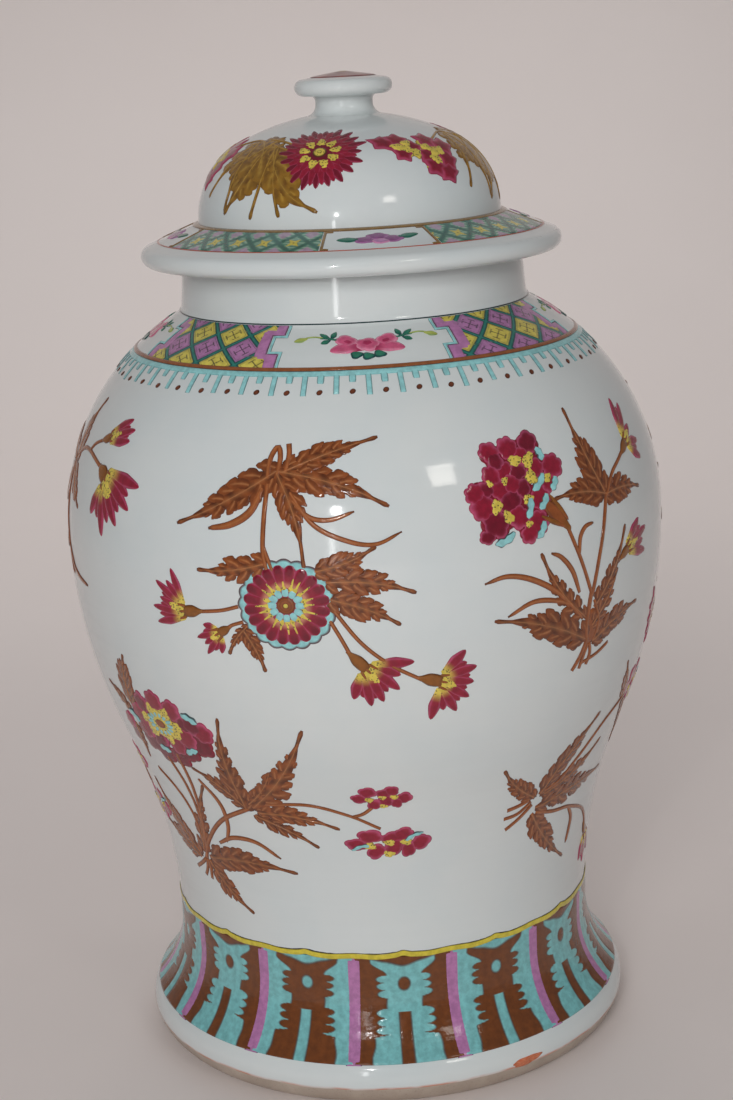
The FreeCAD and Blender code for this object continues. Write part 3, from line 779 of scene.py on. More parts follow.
def small_flower(e, x, y, wide, tall, slips=()):
    """A low blossom of eight lobes, seen from the side."""
    spots = [(-0.78, -0.05, 0.30), (-0.38, 0.45, 0.34), (0.15, 0.30, 0.30), (0.45, 0.50, 0.30),
             (0.80, -0.10, 0.32), (-0.35, -0.50, 0.30), (0.10, -0.25, 0.34), (0.45, -0.45, 0.28)]
    for k, (dx, dy, size) in enumerate(spots):
        lobe_patch(e, x + dx * wide, y + dy * tall, size * wide, 0.42 + 0.03 * k, MAGENTA, PINK,
                   4, min(1.0, tall / wide * 1.25), 8 * k)
    for dx, dy in ((-0.45, -0.15), (0.05, 0.02), (0.45, 0.0), (-0.05, -0.65)):
        yellow_patch(e, x + dx * wide, y + dy * tall, 0.17 * wide, 0.70, 0.7)
    for start, end in slips:
        slip(e, start, end, 2.4, 0.78)


# ---- The sprays on the body ----

def spray_chrysanthemum(e):
    """A round flower that hangs from a broken stem between long lobed leaves, with four buds."""
    stem(e, [(-8, 60), (-8, 66), (-7, 72), (-4, 76.5), (-2.6, 71), (-4, 62)], 2.6)
    stem(e, [(1, 78), (1.5, 72), (0, 63)], 2.6)
    stem(e, [(-8, 60), (-9.5, 42), (-10, 27), (-8, 17)], 2.4)
    stem(e, [(-10, 30), (-7, 22), (-5, 17)], 2.0)
    blade(e, [(-10, 58), (-16, 46), (-26, 39.5), (-38, 37)], 3.4)
    blade(e, [(3, 52), (12, 43.5), (22, 42), (33, 45.5)], 2.2)
    blade(e, [(2, 56), (14, 40), (30, 32), (43, 30), (55, 35)], 2.2)
    e.button(-3.5, 64, lambda a: 4.5 + 0.4 * np.sin(5 * a), plain(BROWN), 0.33, 26, 5)
    leaf(e, (-2, 66), (-56, 38), 16, 5, 0.03)
    leaf(e, (-5, 65), (49, 47), 16, 5, 0.05)
    leaf(e, (-2, 64), (42, 80), 13, 5, 0.02)
    leaf(e, (-5, 66), (9.5, 19), 14, 5, 0.06, tail=0.24)
    leaf(e, (-8, 22), (-45, 17), 13, 3, 0.04)
    leaf(e, (14, 18), (43, 29), 12, 4, -0.05)
    leaf(e, (19, 13), (61, 6), 13, 4, 0.06)
    leaf(e, (20, 5), (53, -9), 13, 4, 0.05)
    leaf(e, (-23, -10), (-13, -32), 9, 4, 0.05)
    leaf(e, (-20, -9), (-31, -24), 6, 3, -0.06, tail=0.1)
    stem(e, [(-24, 0.5), (-33, -2), (-44, -3.5)], 1.9)
    bud(e, (-45, -3.5), (-55, -4.5), [(-61, 16), (-71, 9), (-69, 1), (-74, -4), (-72, -12)], 5.0, 4.2)
    stem(e, [(-22, -7), (-28, -9), (-31, -11)], 1.8)
    bud(e, (-30, -10.5), (-36, -14), [(-44, -10), (-48, -17), (-43, -25), (-35, -24)], 3.6, 3.6)
    stem(e, [(20, -5), (25, -15), (29, -24)], 2.0)
    bud(e, (28, -22), (36, -31), [(58, -28), (50, -42), (42, -48), (36, -50), (28, -46)], 5.0, 5.6)
    stem(e, [(22, 0), (34, -17), (47, -29), (61, -38)], 2.0)
    bud(e, (60, -37), (71, -40), [(83, -25), (88, -34), (86, -42), (83, -50), (76, -57), (63, -60)],
        5.6, 5.4)
    round_flower(e, 0, 2, 24, 0.93)


# The peony's head: lobes and yellow hearts as x, y and size, and turned edges as start and end.
PEONY_LOBES = [
    (-19, -20, 4.2), (3.5, -21.5, 5.2), (9, -17, 6.0), (-14, -14, 8.2), (-1.5, -13, 6.2), (-19.5, -6, 6.4),
    (-5, -5, 7.0), (12, -6, 6.4), (-22, 0.5, 5.2), (-16.5, 2, 4.6), (-9, 1, 5.4), (-2.5, 3, 5.0),
    (3, 0, 5.0), (-12, 8, 5.2), (-5, 9, 5.2), (2, 8, 5.2), (12, 8, 5.6), (22, 7.5, 6.4), (-8.5, 14.5, 5.0),
    (-10.5, 19, 5.4), (-0.3, 19.5, 5.8), (11, 20.5, 6.6), (6, 15, 4.6), (18, 0, 4.4),
]
PEONY_YELLOWS = [
    (2, 13.4, 3.0), (9, 12.6, 3.4), (9, 4.4, 3.2), (17.4, 2.7, 2.4), (-12.5, -6.7, 3.0), (-7, -12.2, 2.8),
    (5, -5.4, 2.4), (-6, 4.6, 1.8), (-14, 4.4, 1.6), (3.5, -17, 1.8),
]
PEONY_SLIPS = [
    ((14.6, 18), (17.2, 11)), ((16, 5.8), (8, -2.2)), ((23, 3.3), (18.6, -3.6)), ((6, -3.6), (2.6, -15)),
    ((16, -3.8), (10.2, -11.4)), ((-4.6, -19.6), (-15.6, -24)), ((12.4, -16), (7.4, -24.6)),
]


def spray_peony(e):
    """A full peony on a curved stem, beside an upright spray of leaves with two small flowers."""
    stem(e, [(26, -22), (30, -31), (35, -42), (42, -59)], 2.2)
    stem(e, [(56.5, -11), (54.5, -18), (51, -30), (47, -43), (42, -60)], 2.6)
    stem(e, [(56, -14), (64, -4), (74, 2), (85, 8)], 2.2)
    blade(e, [(33, -37), (34, -29), (38, -24.5), (44, -23.5)], 2.4)
    stem(e, [(42, -56), (40, -66), (39, -76), (40, -84)], 3.0)
    stem(e, [(44, -62), (48, -74), (44, -84)], 2.0)
    leaf(e, (56, -12), (40, 34), 15, 4, 0.05, tail=0.20)
    leaf(e, (57, -12), (20, -8), 14, 3, -0.06)
    leaf(e, (55, -12), (91, -15), 13, 3, 0.05)
    leaf(e, (44, -66), (71, -30), 11, 4, -0.06, tail=0.15)
    leaf(e, (38, -70), (9, -32), 11, 4, 0.07, tail=0.12)
    leaf(e, (40, -82), (-17, -61), 17, 5, -0.05)
    leaf(e, (44, -84), (86, -73), 14, 4, 0.06)
    leaf(e, (42, -76), (63, -50), 10, 3, -0.05, tail=0.1)
    blade(e, [(36, -70), (20, -54), (4, -44), (-10, -40), (-22, -42)], 2.8)
    blade(e, [(30, -62), (18, -57), (4, -55), (-10, -60)], 2.4)
    blade(e, [(33, -56), (28, -44), (21, -36), (15, -33)], 2.6)
    e.button(42.5, -76, lambda a: 9.5 + 0.6 * np.sin(5 * a), plain(BROWN), 0.33, 30, 5, 0.6, 80)
    stem(e, [(40, -82), (36, -90), (31, -97)], 2.4)
    stem(e, [(41, -84), (38, -91), (36, -97)], 2.2)
    stem(e, [(42, -84), (43, -90), (41, -96)], 2.2)
    stem(e, [(38, -94), (48, -92), (58, -88)], 1.8)
    bud(e, (66, -46), (74, -42), [(86, -30), (95, -36), (94, -48)], 4.2, 5.2)
    bud(e, (78, 4), (86, 9), [(84, 31), (92, 27), (102, 6), (101, -3)], 4.6, 5.0)
    cluster(e, PEONY_LOBES, PEONY_YELLOWS, PEONY_SLIPS)
    petal(e, (28, -24), (12, -6), 8.5, BROWN, BROWN_DARK, CALYX, 0.70, round_end=0.5)
    petal(e, (25, -22), (10, -14), 4.0, CALYX, BROWN_DARK, BROWN, 0.74, round_end=0.8)
    petal(e, (27, -19), (17, -5), 4.0, CALYX, BROWN_DARK, BROWN, 0.78, round_end=0.8)


def spray_hanging(e):
    """A hanging stem with a large flower and a small bud, among four leaves."""
    leaf(e, (-46, -2), (-30, 34), 13, 4, 0.05, tail=0.22)
    leaf(e, (-46, -3), (-27, -24), 12, 4, -0.06)
    leaf(e, (-50, -2), (-86, 12), 13, 4, -0.05)
    leaf(e, (-50, -6), (-78, -30), 13, 4, 0.06)
    stem(e, [(-46, 0), (-34, 6), (-22, 6), (-4, 1)], 2.4)
    stem(e, [(-24, 6), (-18, 11), (-10, 14)], 2.0)
    stem(e, [(-48, -2), (-52, -22), (-49, -44), (-44, -62)], 2.6)
    blade(e, [(-49, -46), (-40, -56), (-30, -60), (-16, -62)], 2.8)
    blade(e, [(-50, -40), (-62, -50), (-76, -52)], 2.6)
    bud(e, (-10, 14), (-2, 17), [(12, 28), (17, 23), (16, 17)], 4.0, 5.0)
    bud(e, (-4, 1), (4, -4), [(34, -4), (29, -16), (20, -25), (7, -32), (-7, -23)], 7.5, 6.6)


def spray_anemone(e):
    """An open anemone over a palmate leaf, with a long twig of two small flowers to the right."""
    stem(e, [(11, 70), (11, 48), (6, 18), (1, 0)], 2.2)
    stem(e, [(1, 66), (6, 46), (6, 22), (0, 4)], 2.0)
    stem(e, [(-18, 52), (-6, 42), (1, 28), (2, 8)], 2.0)
    stem(e, [(0, 0), (8, 14), (24, 30), (46, 42)], 2.6)
    leaf(e, (44, 40), (50, 98), 14, 5, 0.05)
    leaf(e, (44, 42), (18, 62), 11, 4, -0.08)
    leaf(e, (48, 42), (94, 95), 15, 5, -0.05)
    leaf(e, (50, 40), (91, 33), 12, 4, 0.08)
    leaf(e, (48, 38), (77, 21), 10, 3, 0.05, tail=0.14)
    leaf(e, (46, 44), (68, 68), 9, 3, -0.05, tail=0.1)
    leaf(e, (4, 2), (61, 4), 15, 5, 0.06)
    leaf(e, (3, 0), (29, -25), 12, 4, -0.05)
    leaf(e, (0, 4), (20, 51), 11, 4, 0.05)
    leaf(e, (-3, 2), (-34, 40), 13, 5, 0.06)
    leaf(e, (-4, 0), (-40, 12), 12, 4, -0.05)
    blade(e, [(19, 55), (27, 42), (27, 28), (22, 16)], 2.6)
    blade(e, [(16, 14), (28, 20), (42, 20), (54, 12)], 2.6)
    stem(e, [(0, 0), (-5, -4), (-11, -8)], 2.4)
    stem(e, [(1, 0), (-1, -6), (-4, -11)], 2.2)
    stem(e, [(2, 0), (2, -6), (1, -12)], 2.2)
    stem(e, [(56, 46), (80, 48), (98, 42), (111, 33)], 2.0)
    stem(e, [(100, 41), (106, 43), (113, 48)], 1.8)
    leaf(e, (-16, 92), (-10, 122), 15, 4, 0.05, tail=0.06)
    leaf(e, (-20, 88), (-40, 100), 8, 3, -0.05)
    leaf(e, (-20, 80), (-23, 57), 7, 3, 0.05)
    small_flower(e, 118, 53, 14, 8)
    small_flower(e, 112, 24, 20, 10, [((93, 20), (104, 23)), ((120, 24), (131, 29))])
    x, y = 8, 87
    lobes = []
    for k in range(9):
        angle = math.radians(40 * k + 12)
        lobes.append((x + 19 * math.cos(angle), y + 12.5 * math.sin(angle), 6.4))
    lobes += [(31, 90, 6.5), (37, 87, 6.6), (-26, 80, 5)]
    yellows = [(x + 12 * math.cos(k), y + 8 * math.sin(k), 3.2) for k in range(6)]
    slips = [((26, 96), (36, 92)), ((20, 71), (29, 75)), ((-2, 71), (7, 69)), ((-22, 88), (-12, 82))]
    cluster(e, lobes, yellows, slips)
    yellow_patch(e, 9, 86.5, 16, 0.68, 0.66)
    petals = 14
    for k in range(petals):
        angle = 2 * math.pi * k / petals
        reach = np.array([math.cos(angle) * 11, math.sin(angle) * 7.7])
        petal(e, np.array([x, y]) + reach * 0.35, np.array([x, y]) + reach, 3.4, TURQUOISE, INK,
              TURQUOISE, 0.80, round_end=0.6)
    e.button(x, y, lambda a: 4.4, rimmed(BROWN, BROWN_DARK, 0.7), 0.92, 30, 6, 0.7)


def spray_arching(e):
    """Leaves on an arching stem, with a trailing blade and a small flower at the far end."""
    stem(e, [(-2, 2), (-9, 0), (-16, -1)], 2.4)
    stem(e, [(-1, 0), (-9, -5), (-17, -6)], 2.2)
    stem(e, [(0, -2), (-7, -8), (-15, -13)], 2.2)
    leaf(e, (1, 2), (-24, 26), 11, 4, 0.06)
    leaf(e, (1, -8), (34, -45), 13, 5, -0.05)
    leaf(e, (4, 3), (40, 43), 14, 5, 0.04)
    leaf(e, (3, -5), (70, -3), 14, 5, 0.04)
    leaf(e, (6, 2), (52, 22), 12, 4, -0.05)
    stem(e, [(6, 4), (18, 8), (30, 18), (49, 34), (74, 44)], 2.2)
    stem(e, [(4, -8), (18, -12), (34, -15), (54, -25), (66, -45)], 2.4)
    blade(e, [(33, -15), (38, -24), (36, -38)], 2.8)
    bud(e, (60, -36), (66, -44), [(58, -58), (66, -62), (76, -58)], 4.2, 4.8)
    small_flower(e, 86, 46, 17, 13, [((92, 52), (99, 46))])
    leaf(e, (72, 40), (84, 6), 10, 4, 0.06)
    leaf(e, (66, 42), (62, 66), 9, 3, -0.06)


# Name, drawing, azimuth, height in mm, whether mirrored, and size.
SPRAYS = [
    ("spray_chrysanthemum_front", spray_chrysanthemum, -14.2, 271, False, 1.0),
    ("spray_peony_front", spray_peony, 28.2, 318.5, False, 1.0),
    ("spray_hanging_left", spray_hanging, -58.6, 326, False, 1.0),
    ("spray_anemone_front", spray_anemone, -50.4, 118, False, 1.0),
    ("spray_arching_front", spray_arching, 37.6, 150, False, 1.0),
    ("spray_chrysanthemum_right", spray_chrysanthemum, 104, 268, True, 1.0),
    ("spray_peony_back", spray_peony, 183, 316, True, 1.0),
    ("spray_chrysanthemum_back", spray_chrysanthemum, 229, 266, False, 0.94),
    ("spray_anemone_right", spray_anemone, 150, 120, True, 1.0),
    ("spray_arching_back", spray_arching, 176, 150, False, 1.0),
    ("spray_anemone_back", spray_anemone, 238, 116, False, 0.94),
]


def body_sprays():
    """Each spray as a piece of its own."""
    for name, draw, azimuth, height, mirror, size in SPRAYS:
        e = Enamel(name, JAR, "jar", azimuth, JAR.at_height(height), mirror, size)
        draw(e)
        e.finish()


# ---- The bands on the body ----

RESERVES = 4
RESERVE_AZIMUTH = 1.7
HALF_RESERVE = 21.1
BAND_STEPS = (411.0, 428.0)
SHOULDER_LINE = 376.2
NECK_LINE = 394.0
FOOT_PANELS = 14
FOOT_PANEL_AZIMUTH = 4.15
FOOT_BAND_LOW = 23.2
FOOT_BAND_HIGH = 75.0


def ring(e, along, width, paint, height, wave=None):
    """A line all the way round, with an optional wave in mm against azimuth."""
    columns, rows = 721, 7
    turns = np.linspace(180, -180, columns)[None, :]
    across = np.linspace(-1, 1, rows)[:, None]
    middle = along + (wave(turns) if wave else 0 * turns)
    lift = EDGE_LIFT + (height - EDGE_LIFT) * np.sqrt(1 - across**4)
    paints = paint(*np.broadcast_arrays(0 * turns, across))
    first = e.add_round(turns, middle + across * width / 2, lift, paints)
    sides = (0, -1)
    bottom = e.add_round(turns[:, sides], middle[:, sides] + across * width / 2, SUNK, paints[:, sides])
    e.close_strip(first, bottom, rows, columns, False)


def lattice_paint(columns, rows, shift, cells):
    """A diaper of diamonds between double green lines, with a small plain cross in each."""
    def paint_at(x, up):
        x, y = x * columns, up * rows + shift
        p, q = x + y + 40, x - y + 40
        near = np.minimum(np.abs(p - np.round(p)), np.abs(q - np.round(q)))
        lines = 1 - ramp(near, 0.080, 0.100)
        core = ramp(near, 0.030, 0.050)
        row = np.floor(p) - np.floor(q)
        cell = mix(cells[0], cells[1], row % 2)
        cell = mix(cell, INK, (1 - ramp(np.abs(near - 0.135), 0.008, 0.020)) * 0.5)
        cell = mix(cell, INK, fret_mark(p - np.floor(p) - 0.5, q - np.floor(q) - 0.5) * 0.85)
        return mix(cell, mix(GREEN, GREEN_DEEP, core), lines), 0.10 * (1 - lines)
    return paint_at


def fret_mark(p, q):
    """A cross with a bar over each end."""
    a, b = np.abs(p), np.abs(q)
    arms = (np.minimum(a, b) < 0.020) & (np.maximum(a, b) < 0.28)
    bars = (np.abs(np.maximum(a, b) - 0.26) < 0.020) & (np.minimum(a, b) < 0.13)
    return np.where(arms | bars, 1.0, 0.0)


def step_at(along, low_value, middle_value):
    """A value for the steps of a reserve's end: one for its middle, one above and below it."""
    low, high = BAND_STEPS
    share = ramp(along, low - 0.5, low + 0.5) * (1 - ramp(along, high - 0.5, high + 0.5))
    return low_value + (middle_value - low_value) * share


def stepped(e, corners, widths, paint, height):
    """A band with square corners. Its upright runs have the first width and its level ones the second."""
    for k, (start, end) in enumerate(zip(corners, corners[1:])):
        start, end = np.array(start, float), np.array(end, float)
        width, across = widths if k % 2 == 0 else widths[::-1]
        way = (end - start) / np.hypot(*(end - start))
        first = start - way * across * 0.42 * (k > 0)
        last = end + way * across * 0.42 * (k < len(corners) - 2)
        e.strip([first, last], lambda t: 0.5 * width, paint, height + 0.004 * k, 9, step=0.7)


def shoulder_band():
    """Four lattice fields round the shoulder, between reserves with stepped ends."""
    low, high = JAR.at_height(SHOULDER_LINE) + 1.0, JAR.at_height(NECK_LINE) - 0.6
    spacing = 360 / RESERVES
    cell_degrees, cell_rows = 12.2, 1.45
    def half(up):
        return step_at(low + up * (high - low), 20.0, 16.6)
    for k in range(RESERVES):
        shift = -0.05 + 0.5 * (k % 2 == 0)
        lattice = lattice_paint(1 / cell_degrees, cell_rows, shift, (YELLOW_PLAIN, LILAC))
        e = Enamel(f"shoulder_lattice_{k}", JAR, "jar")
        e.panel(RESERVE_AZIMUTH + spacing * (k + 0.5), half, (low, high), lattice, 0.34, 0.40)
        e.finish()
    for k in range(2 * RESERVES):
        side = 1 if k % 2 else -1
        edge = RESERVE_AZIMUTH + spacing * (k // 2) + side * HALF_RESERVE
        e = Enamel(f"shoulder_border_{k}", JAR, "jar", edge, 0.0, side < 0)
        for near, far, inset, widths, paint, height in (
                (4.9, 11.0, 0.0, (6.6, 4.4), outlined(PURPLE, INK, 0.86), 0.46),
                (0.6, 6.6, 3.0, (1.5, 1.5), outlined(TURQUOISE, INK, 0.74), 0.42)):
            lower, upper = BAND_STEPS[0] + inset, BAND_STEPS[1] - inset
            corners = [(near, low), (near, lower), (far, lower), (far, upper), (near, upper), (near, high)]
            stepped(e, corners, widths, paint, height)
        e.finish()
    e = Enamel("shoulder_lines", JAR, "jar")
    ring(e, JAR.at_height(SHOULDER_LINE), 2.4, outlined(LINE_BROWN, BROWN_DARK, 0.75), 0.5)
    ring(e, JAR.at_height(NECK_LINE), 0.7, plain(mix(INK, GREEN_DEEP, 0.5)), 0.22)
    e.finish()


def shoulder_peony(e):
    """A rose peony between two leafy sprigs, as in each reserve."""
    deep = colour(168, 40, 84)
    leaf_paints = (LEAF_GREEN, GREEN_DEEP, LEAF_GREEN)
    bud_paints = (BUD_GREEN, LEAF_GREEN, BUD_GREEN)
    for side in (-1, 1):
        petal(e, (side * 2, -1), (side * 18, -3.0), 8.0, ROSE, ROSE_PALE, deep, 0.40, side * 0.06,
              root_width=0.6)
        lobe_patch(e, side * 9.5, 3.4, 5.6, 0.46, ROSE, ROSE_PALE, 4, 0.75, side * 20)
        lobe_patch(e, side * 9.0, 2.6, 2.6, 0.52, deep, ROSE, 4, 0.6, side * 20)
        stem(e, [(side * 13, 4), (side * 18, 5.5), (side * 22, 6)], 1.0, 0.7, leaf_paints)
        for x, y, tx, ty in ((17, 5, 14, 10.5), (17, 5, 22, 9.4), (17, 4.6, 22, 2.2)):
            petal(e, (side * x, y), (side * tx, ty), 3.2, LEAF_GREEN, GREEN_DEEP, GREEN_DEEP, 0.44)
        stem(e, [(side * 20, 6), (side * 25, 7), (side * 30, 6.0)], 0.9, 0.6, bud_paints)
        petal(e, (side * 28, 6.2), (side * 35, 3.8), 3.6, BUD_GREEN, LEAF_GREEN, BUD_GREEN, 0.44)
    lobe_patch(e, 0, 0.6, 6.4, 0.58, ROSE, ROSE_PALE, 5, 0.72)
    lobe_patch(e, 0, 1.4, 3.0, 0.66, deep, ROSE, 5, 0.7)
    for x, y, turn in ((-5.5, -6.0, 10), (0, -7.0, 0), (5.5, -6.0, -10)):
        e.button(x, y, lambda a: 3.1 + 0.4 * np.cos(3 * a), rimmed(LEAF_GREEN, GREEN_DEEP, 0.7), 0.52,
                 24, 5, 0.75, turn)


def shoulder_reserves():
    """A peony in each of the white reserves between the lattice fields."""
    low, high = JAR.at_height(SHOULDER_LINE), JAR.at_height(NECK_LINE)
    for k in range(RESERVES):
        azimuth = RESERVE_AZIMUTH + 1.2 + 360 / RESERVES * k
        e = Enamel(f"shoulder_peony_{k}", JAR, "jar", azimuth, (low + high) / 2 - 1.0)
        shoulder_peony(e)
        e.finish()


def comb_border():
    """The turquoise band under the brown line, with long and short teeth by turns and a dot under
    each short one."""
    e = Enamel("comb_border", JAR, "jar")
    top = JAR.at_height(SHOULDER_LINE) - 1.2
    ring(e, top - 1.6, 3.2, outlined(TURQUOISE, TURQUOISE_DEEP, 0.8), 0.36)
    teeth = 50
    paint = outlined(TURQUOISE, mix(INK, TURQUOISE, 0.25), 0.74)
    for k in range(teeth):
        e.azimuth, e.base = 360 / teeth * k + 2.4, top - 1.6
        long = 12.2 + e.chance.uniform(-0.7, 0.9)
        e.strip([(0, 0), (0, -long)], lambda t: 1.4, paint, 0.40, 11, flat=4)
        e.azimuth += 180 / teeth
        short = 5.6 + e.chance.uniform(-0.4, 0.5)
        e.strip([(0, 0), (0, -short)], lambda t: 1.7 - 0.3 * ramp(t, 0.8, 1), paint, 0.42, 11, flat=4)
        drop = -10.6 + e.chance.uniform(-0.4, 0.4)
        e.button(e.chance.uniform(-0.3, 0.3), drop, lambda a: 1.45 + 0.15 * np.sin(2 * a),
                 rimmed(DOT_BROWN, BROWN_DARK, 0.6), 0.42, 22, 5)
    e.finish()


def figure_edge(up, seed):
    """Half the width of a foot panel's figure up the panel: legs, two sets of fingers and a cap."""
    def fingers(low, high, sway):
        share = (up - low) / (high - low)
        inside = (share > 0) & (share < 1)
        waves = np.abs(np.sin(3 * math.pi * np.clip(share, 0, 1) ** sway)) ** 0.45
        return np.where(inside, waves, 0)
    narrow = 0.40
    legs = (0.66 - narrow) * (1 - ramp(up, 0.24, 0.27)) - 0.04 * ramp(up, 0, 0.24)
    body = narrow + legs + 0.22 * fingers(0.27, 0.50, 0.92 + 0.04 * seed) + 0.20 * fingers(0.60, 0.82, 1.0)
    return body + 0.30 * ramp(up, 0.82, 0.95)


def foot_panel(k, ground, figure):
    """The colour and relief of a foot panel: a figure with a slot between its legs and one eye."""
    def paint_at(offset, up):
        u = offset / (180 / FOOT_PANELS)
        wobble = 0.014 * np.sin(up * 27 + k * 2.1) * np.sign(u)
        edge = figure_edge(up, (k * 3) % 4)
        inside = edge - np.abs(u) - wobble
        top = 0.955 + 0.035 * ramp(np.abs(u), 0.35, 0.7) - 0.045 * (1 - ramp(np.abs(u), 0.0, 0.4))
        roof = (top - up) * 1.6
        slot = np.where(up < 0.47, 0.115 - np.abs(u + 0.02), -1)
        eye = 0.12 - np.hypot(u, (up - 0.73) * 1.9)
        hole = np.maximum(slot, eye)
        shape = np.minimum(np.minimum(inside, -hole), roof)
        amount = ramp(shape, -0.012, 0.012)
        streak = 0.5 + 0.5 * np.sin(u * 23 + 2 * np.sin(up * 9 + k))
        paint = mix(ground, figure, amount)
        paint = mix(paint, paint * 0.82, 0.5 * streak)
        line = 1 - ramp(np.abs(shape), 0.010, 0.030)
        paint = mix(paint, mix(FOOT_BROWN, INK, 0.6), line * 0.65)
        return paint, 0.10 * ramp(np.abs(shape), 0.0, 0.12) - 0.08 * line
    return paint_at


def foot_mark():
    """A worn, rust-coloured spot on the rim of the foot."""
    e = Enamel("foot_mark", JAR, "jar", 32.0, JAR.at_height(13.0))
    def reach(angle):
        return 9 + 0.9 * np.sin(3 * angle + 1) + 0.4 * np.sin(7 * angle)
    def paint_at(share, angle):
        tone = 0.5 + 0.5 * np.sin(9 * angle + 5 * share)
        return mix(colour(196, 92, 52), colour(214, 150, 112), tone * 0.6)
    e.button(0, 0, reach, paint_at, 0.06, 40, 6, 0.26, 4)
    e.finish()


def foot_band():
    """Fourteen panels of one stylised figure in turquoise and brown by turns, with purple bars."""
    low, high = JAR.at_height(FOOT_BAND_LOW), JAR.at_height(FOOT_BAND_HIGH)
    spacing = 360 / FOOT_PANELS
    for k in range(FOOT_PANELS):
        ground, figure = (FOOT_BROWN, TURQUOISE_DEEP) if k % 2 == 0 else (TURQUOISE_DEEP, FOOT_BROWN)
        e = Enamel(f"foot_panel_{k:02d}", JAR, "jar")
        e.panel(FOOT_PANEL_AZIMUTH + spacing * k, lambda up: spacing / 2, (low, high),
                foot_panel(k, ground, figure), 0.34, 0.45)
        e.finish()
    e = Enamel("foot_bars", JAR, "jar", 0.0, low)
    for k in range(FOOT_PANELS):
        e.azimuth = FOOT_PANEL_AZIMUTH + spacing * (k + 0.5)
        sway = e.chance.uniform(-0.5, 0.5)
        e.strip([(0, -0.4), (sway, 28), (0, high - low + 0.4)], lambda t: 4.1 + 0.15 * np.sin(9 * t),
                outlined(PURPLE, INK, 0.84), 0.50, 11)
    e.finish()
    e = Enamel("foot_lines", JAR, "jar")
    def peaks(azimuth):
        share = ((azimuth - FOOT_PANEL_AZIMUTH) / spacing + 0.5) % 1
        return 0.9 * np.exp(-((share - 0.5) / 0.05) ** 2) + 0.35 * np.cos(4 * math.pi * share)
    ring(e, high + 0.6, 3.4, outlined(YELLOW_LINE, INK, 0.80), 0.5, peaks)
    e.finish()


# ---- The lid ----

BRIM_RESERVE_AZIMUTH = 8.4
BRIM_HALF_RESERVE = 17.5
KNOB_DISC = 17.0


def brim_paint():
    """The brim's lattice: lilac patches and four-pointed yellow flowers by turns on washed green."""
    wash, pale = colour(66, 132, 112), colour(176, 206, 184)
    def paint_at(offset, up):
        x, y = offset / 9.6, up * 1.15 + 0.02
        p, q = x + y + 20, x - y + 20
        fp, fq = np.abs(p - np.floor(p) - 0.5), np.abs(q - np.floor(q) - 0.5)
        row = (np.floor(p) - np.floor(q)) % 2
        near = 0.5 - np.maximum(fp, fq)
        star = np.minimum(fp, fq) * 2.4 + np.maximum(fp, fq) * 0.95
        flower = (1 - ramp(star, 0.37, 0.43)) * row
        patch = (1 - ramp(np.maximum(fp, fq), 0.22, 0.30)) * (1 - row)
        stroke = 0.5 + 0.5 * np.sin((p - q) * 24 + 3 * np.sin(7 * q))
        paint = mix(wash, pale, 0.75 * stroke * ramp(near, 0.10, 0.16))
        paint = mix(mix(wash, GREEN_DEEP, 0.55), paint, ramp(near, 0.045, 0.12))
        paint = mix(paint, mix(LILAC, pale, 0.25), patch * 0.9)
        paint = mix(paint, YELLOW_PLAIN, flower)
        rim = (1 - ramp(np.abs(star - 0.40), 0.02, 0.05)) * row
        paint = mix(paint, GREEN_DEEP, 0.45 * rim)
        paint = mix(paint, INK, (1 - ramp(np.hypot(fp, fq), 0.03, 0.06)) * row * 0.7)
        return paint, 0.08 * flower
    return paint_at


def brim_field(k, middle, half, low, top, paint):
    """One lattice field of the brim, with ochre lines along its ends and the corners they turn."""
    e = Enamel(f"brim_lattice_{k}", BRIM, "lid")
    e.panel(middle, lambda up: half, (low, top), paint, 0.32, 0.42)
    edge = outlined(BAND_OCHRE, OCHRE_DARK, 0.7)
    for side in (-1, 1):
        e.azimuth, e.base, e.mirror = middle + side * (half + 0.7), low, side < 0
        e.strip([(0, 0.4), (0, top - low)], lambda t: 0.75, edge, 0.44, 7)
        e.strip([(-0.5, 1.0), (3.4, 0.9)], lambda t: 0.7, edge, 0.42, 7)
        e.strip([(-0.5, top - low - 1.4), (3.8, top - low - 1.2)], lambda t: 0.7, edge, 0.42, 7)
    e.finish()


def brim_flower(k, azimuth, along):
    """A purple flower between two leaves, in one of the brim's reserves."""
    e = Enamel(f"brim_flower_{k}", BRIM, "lid", azimuth, along)
    deep = colour(132, 64, 124)
    for side in (-1, 1):
        petal(e, (side * 8, 0.0), (side * 20, 1.2 + side), 5.4, LEAF_GREEN, GREEN_DEEP, GREEN_DEEP, 0.42)
        lobe_patch(e, side * 6.8, -0.8, 5.6, 0.40, deep, LILAC, 4, 0.6)
        lobe_patch(e, side * 6.0, -0.6, 2.4, 0.47, deep, PURPLE, 4, 0.5)
    lobe_patch(e, 0, 2.2, 5.8, 0.46, deep, LILAC, 5, 0.62)
    lobe_patch(e, 0, 1.8, 2.6, 0.53, deep, PURPLE, 4, 0.5)
    lobe_patch(e, 0.5, -2.8, 4.4, 0.50, LILAC, ROSE_PALE, 4, 0.55)
    e.finish()


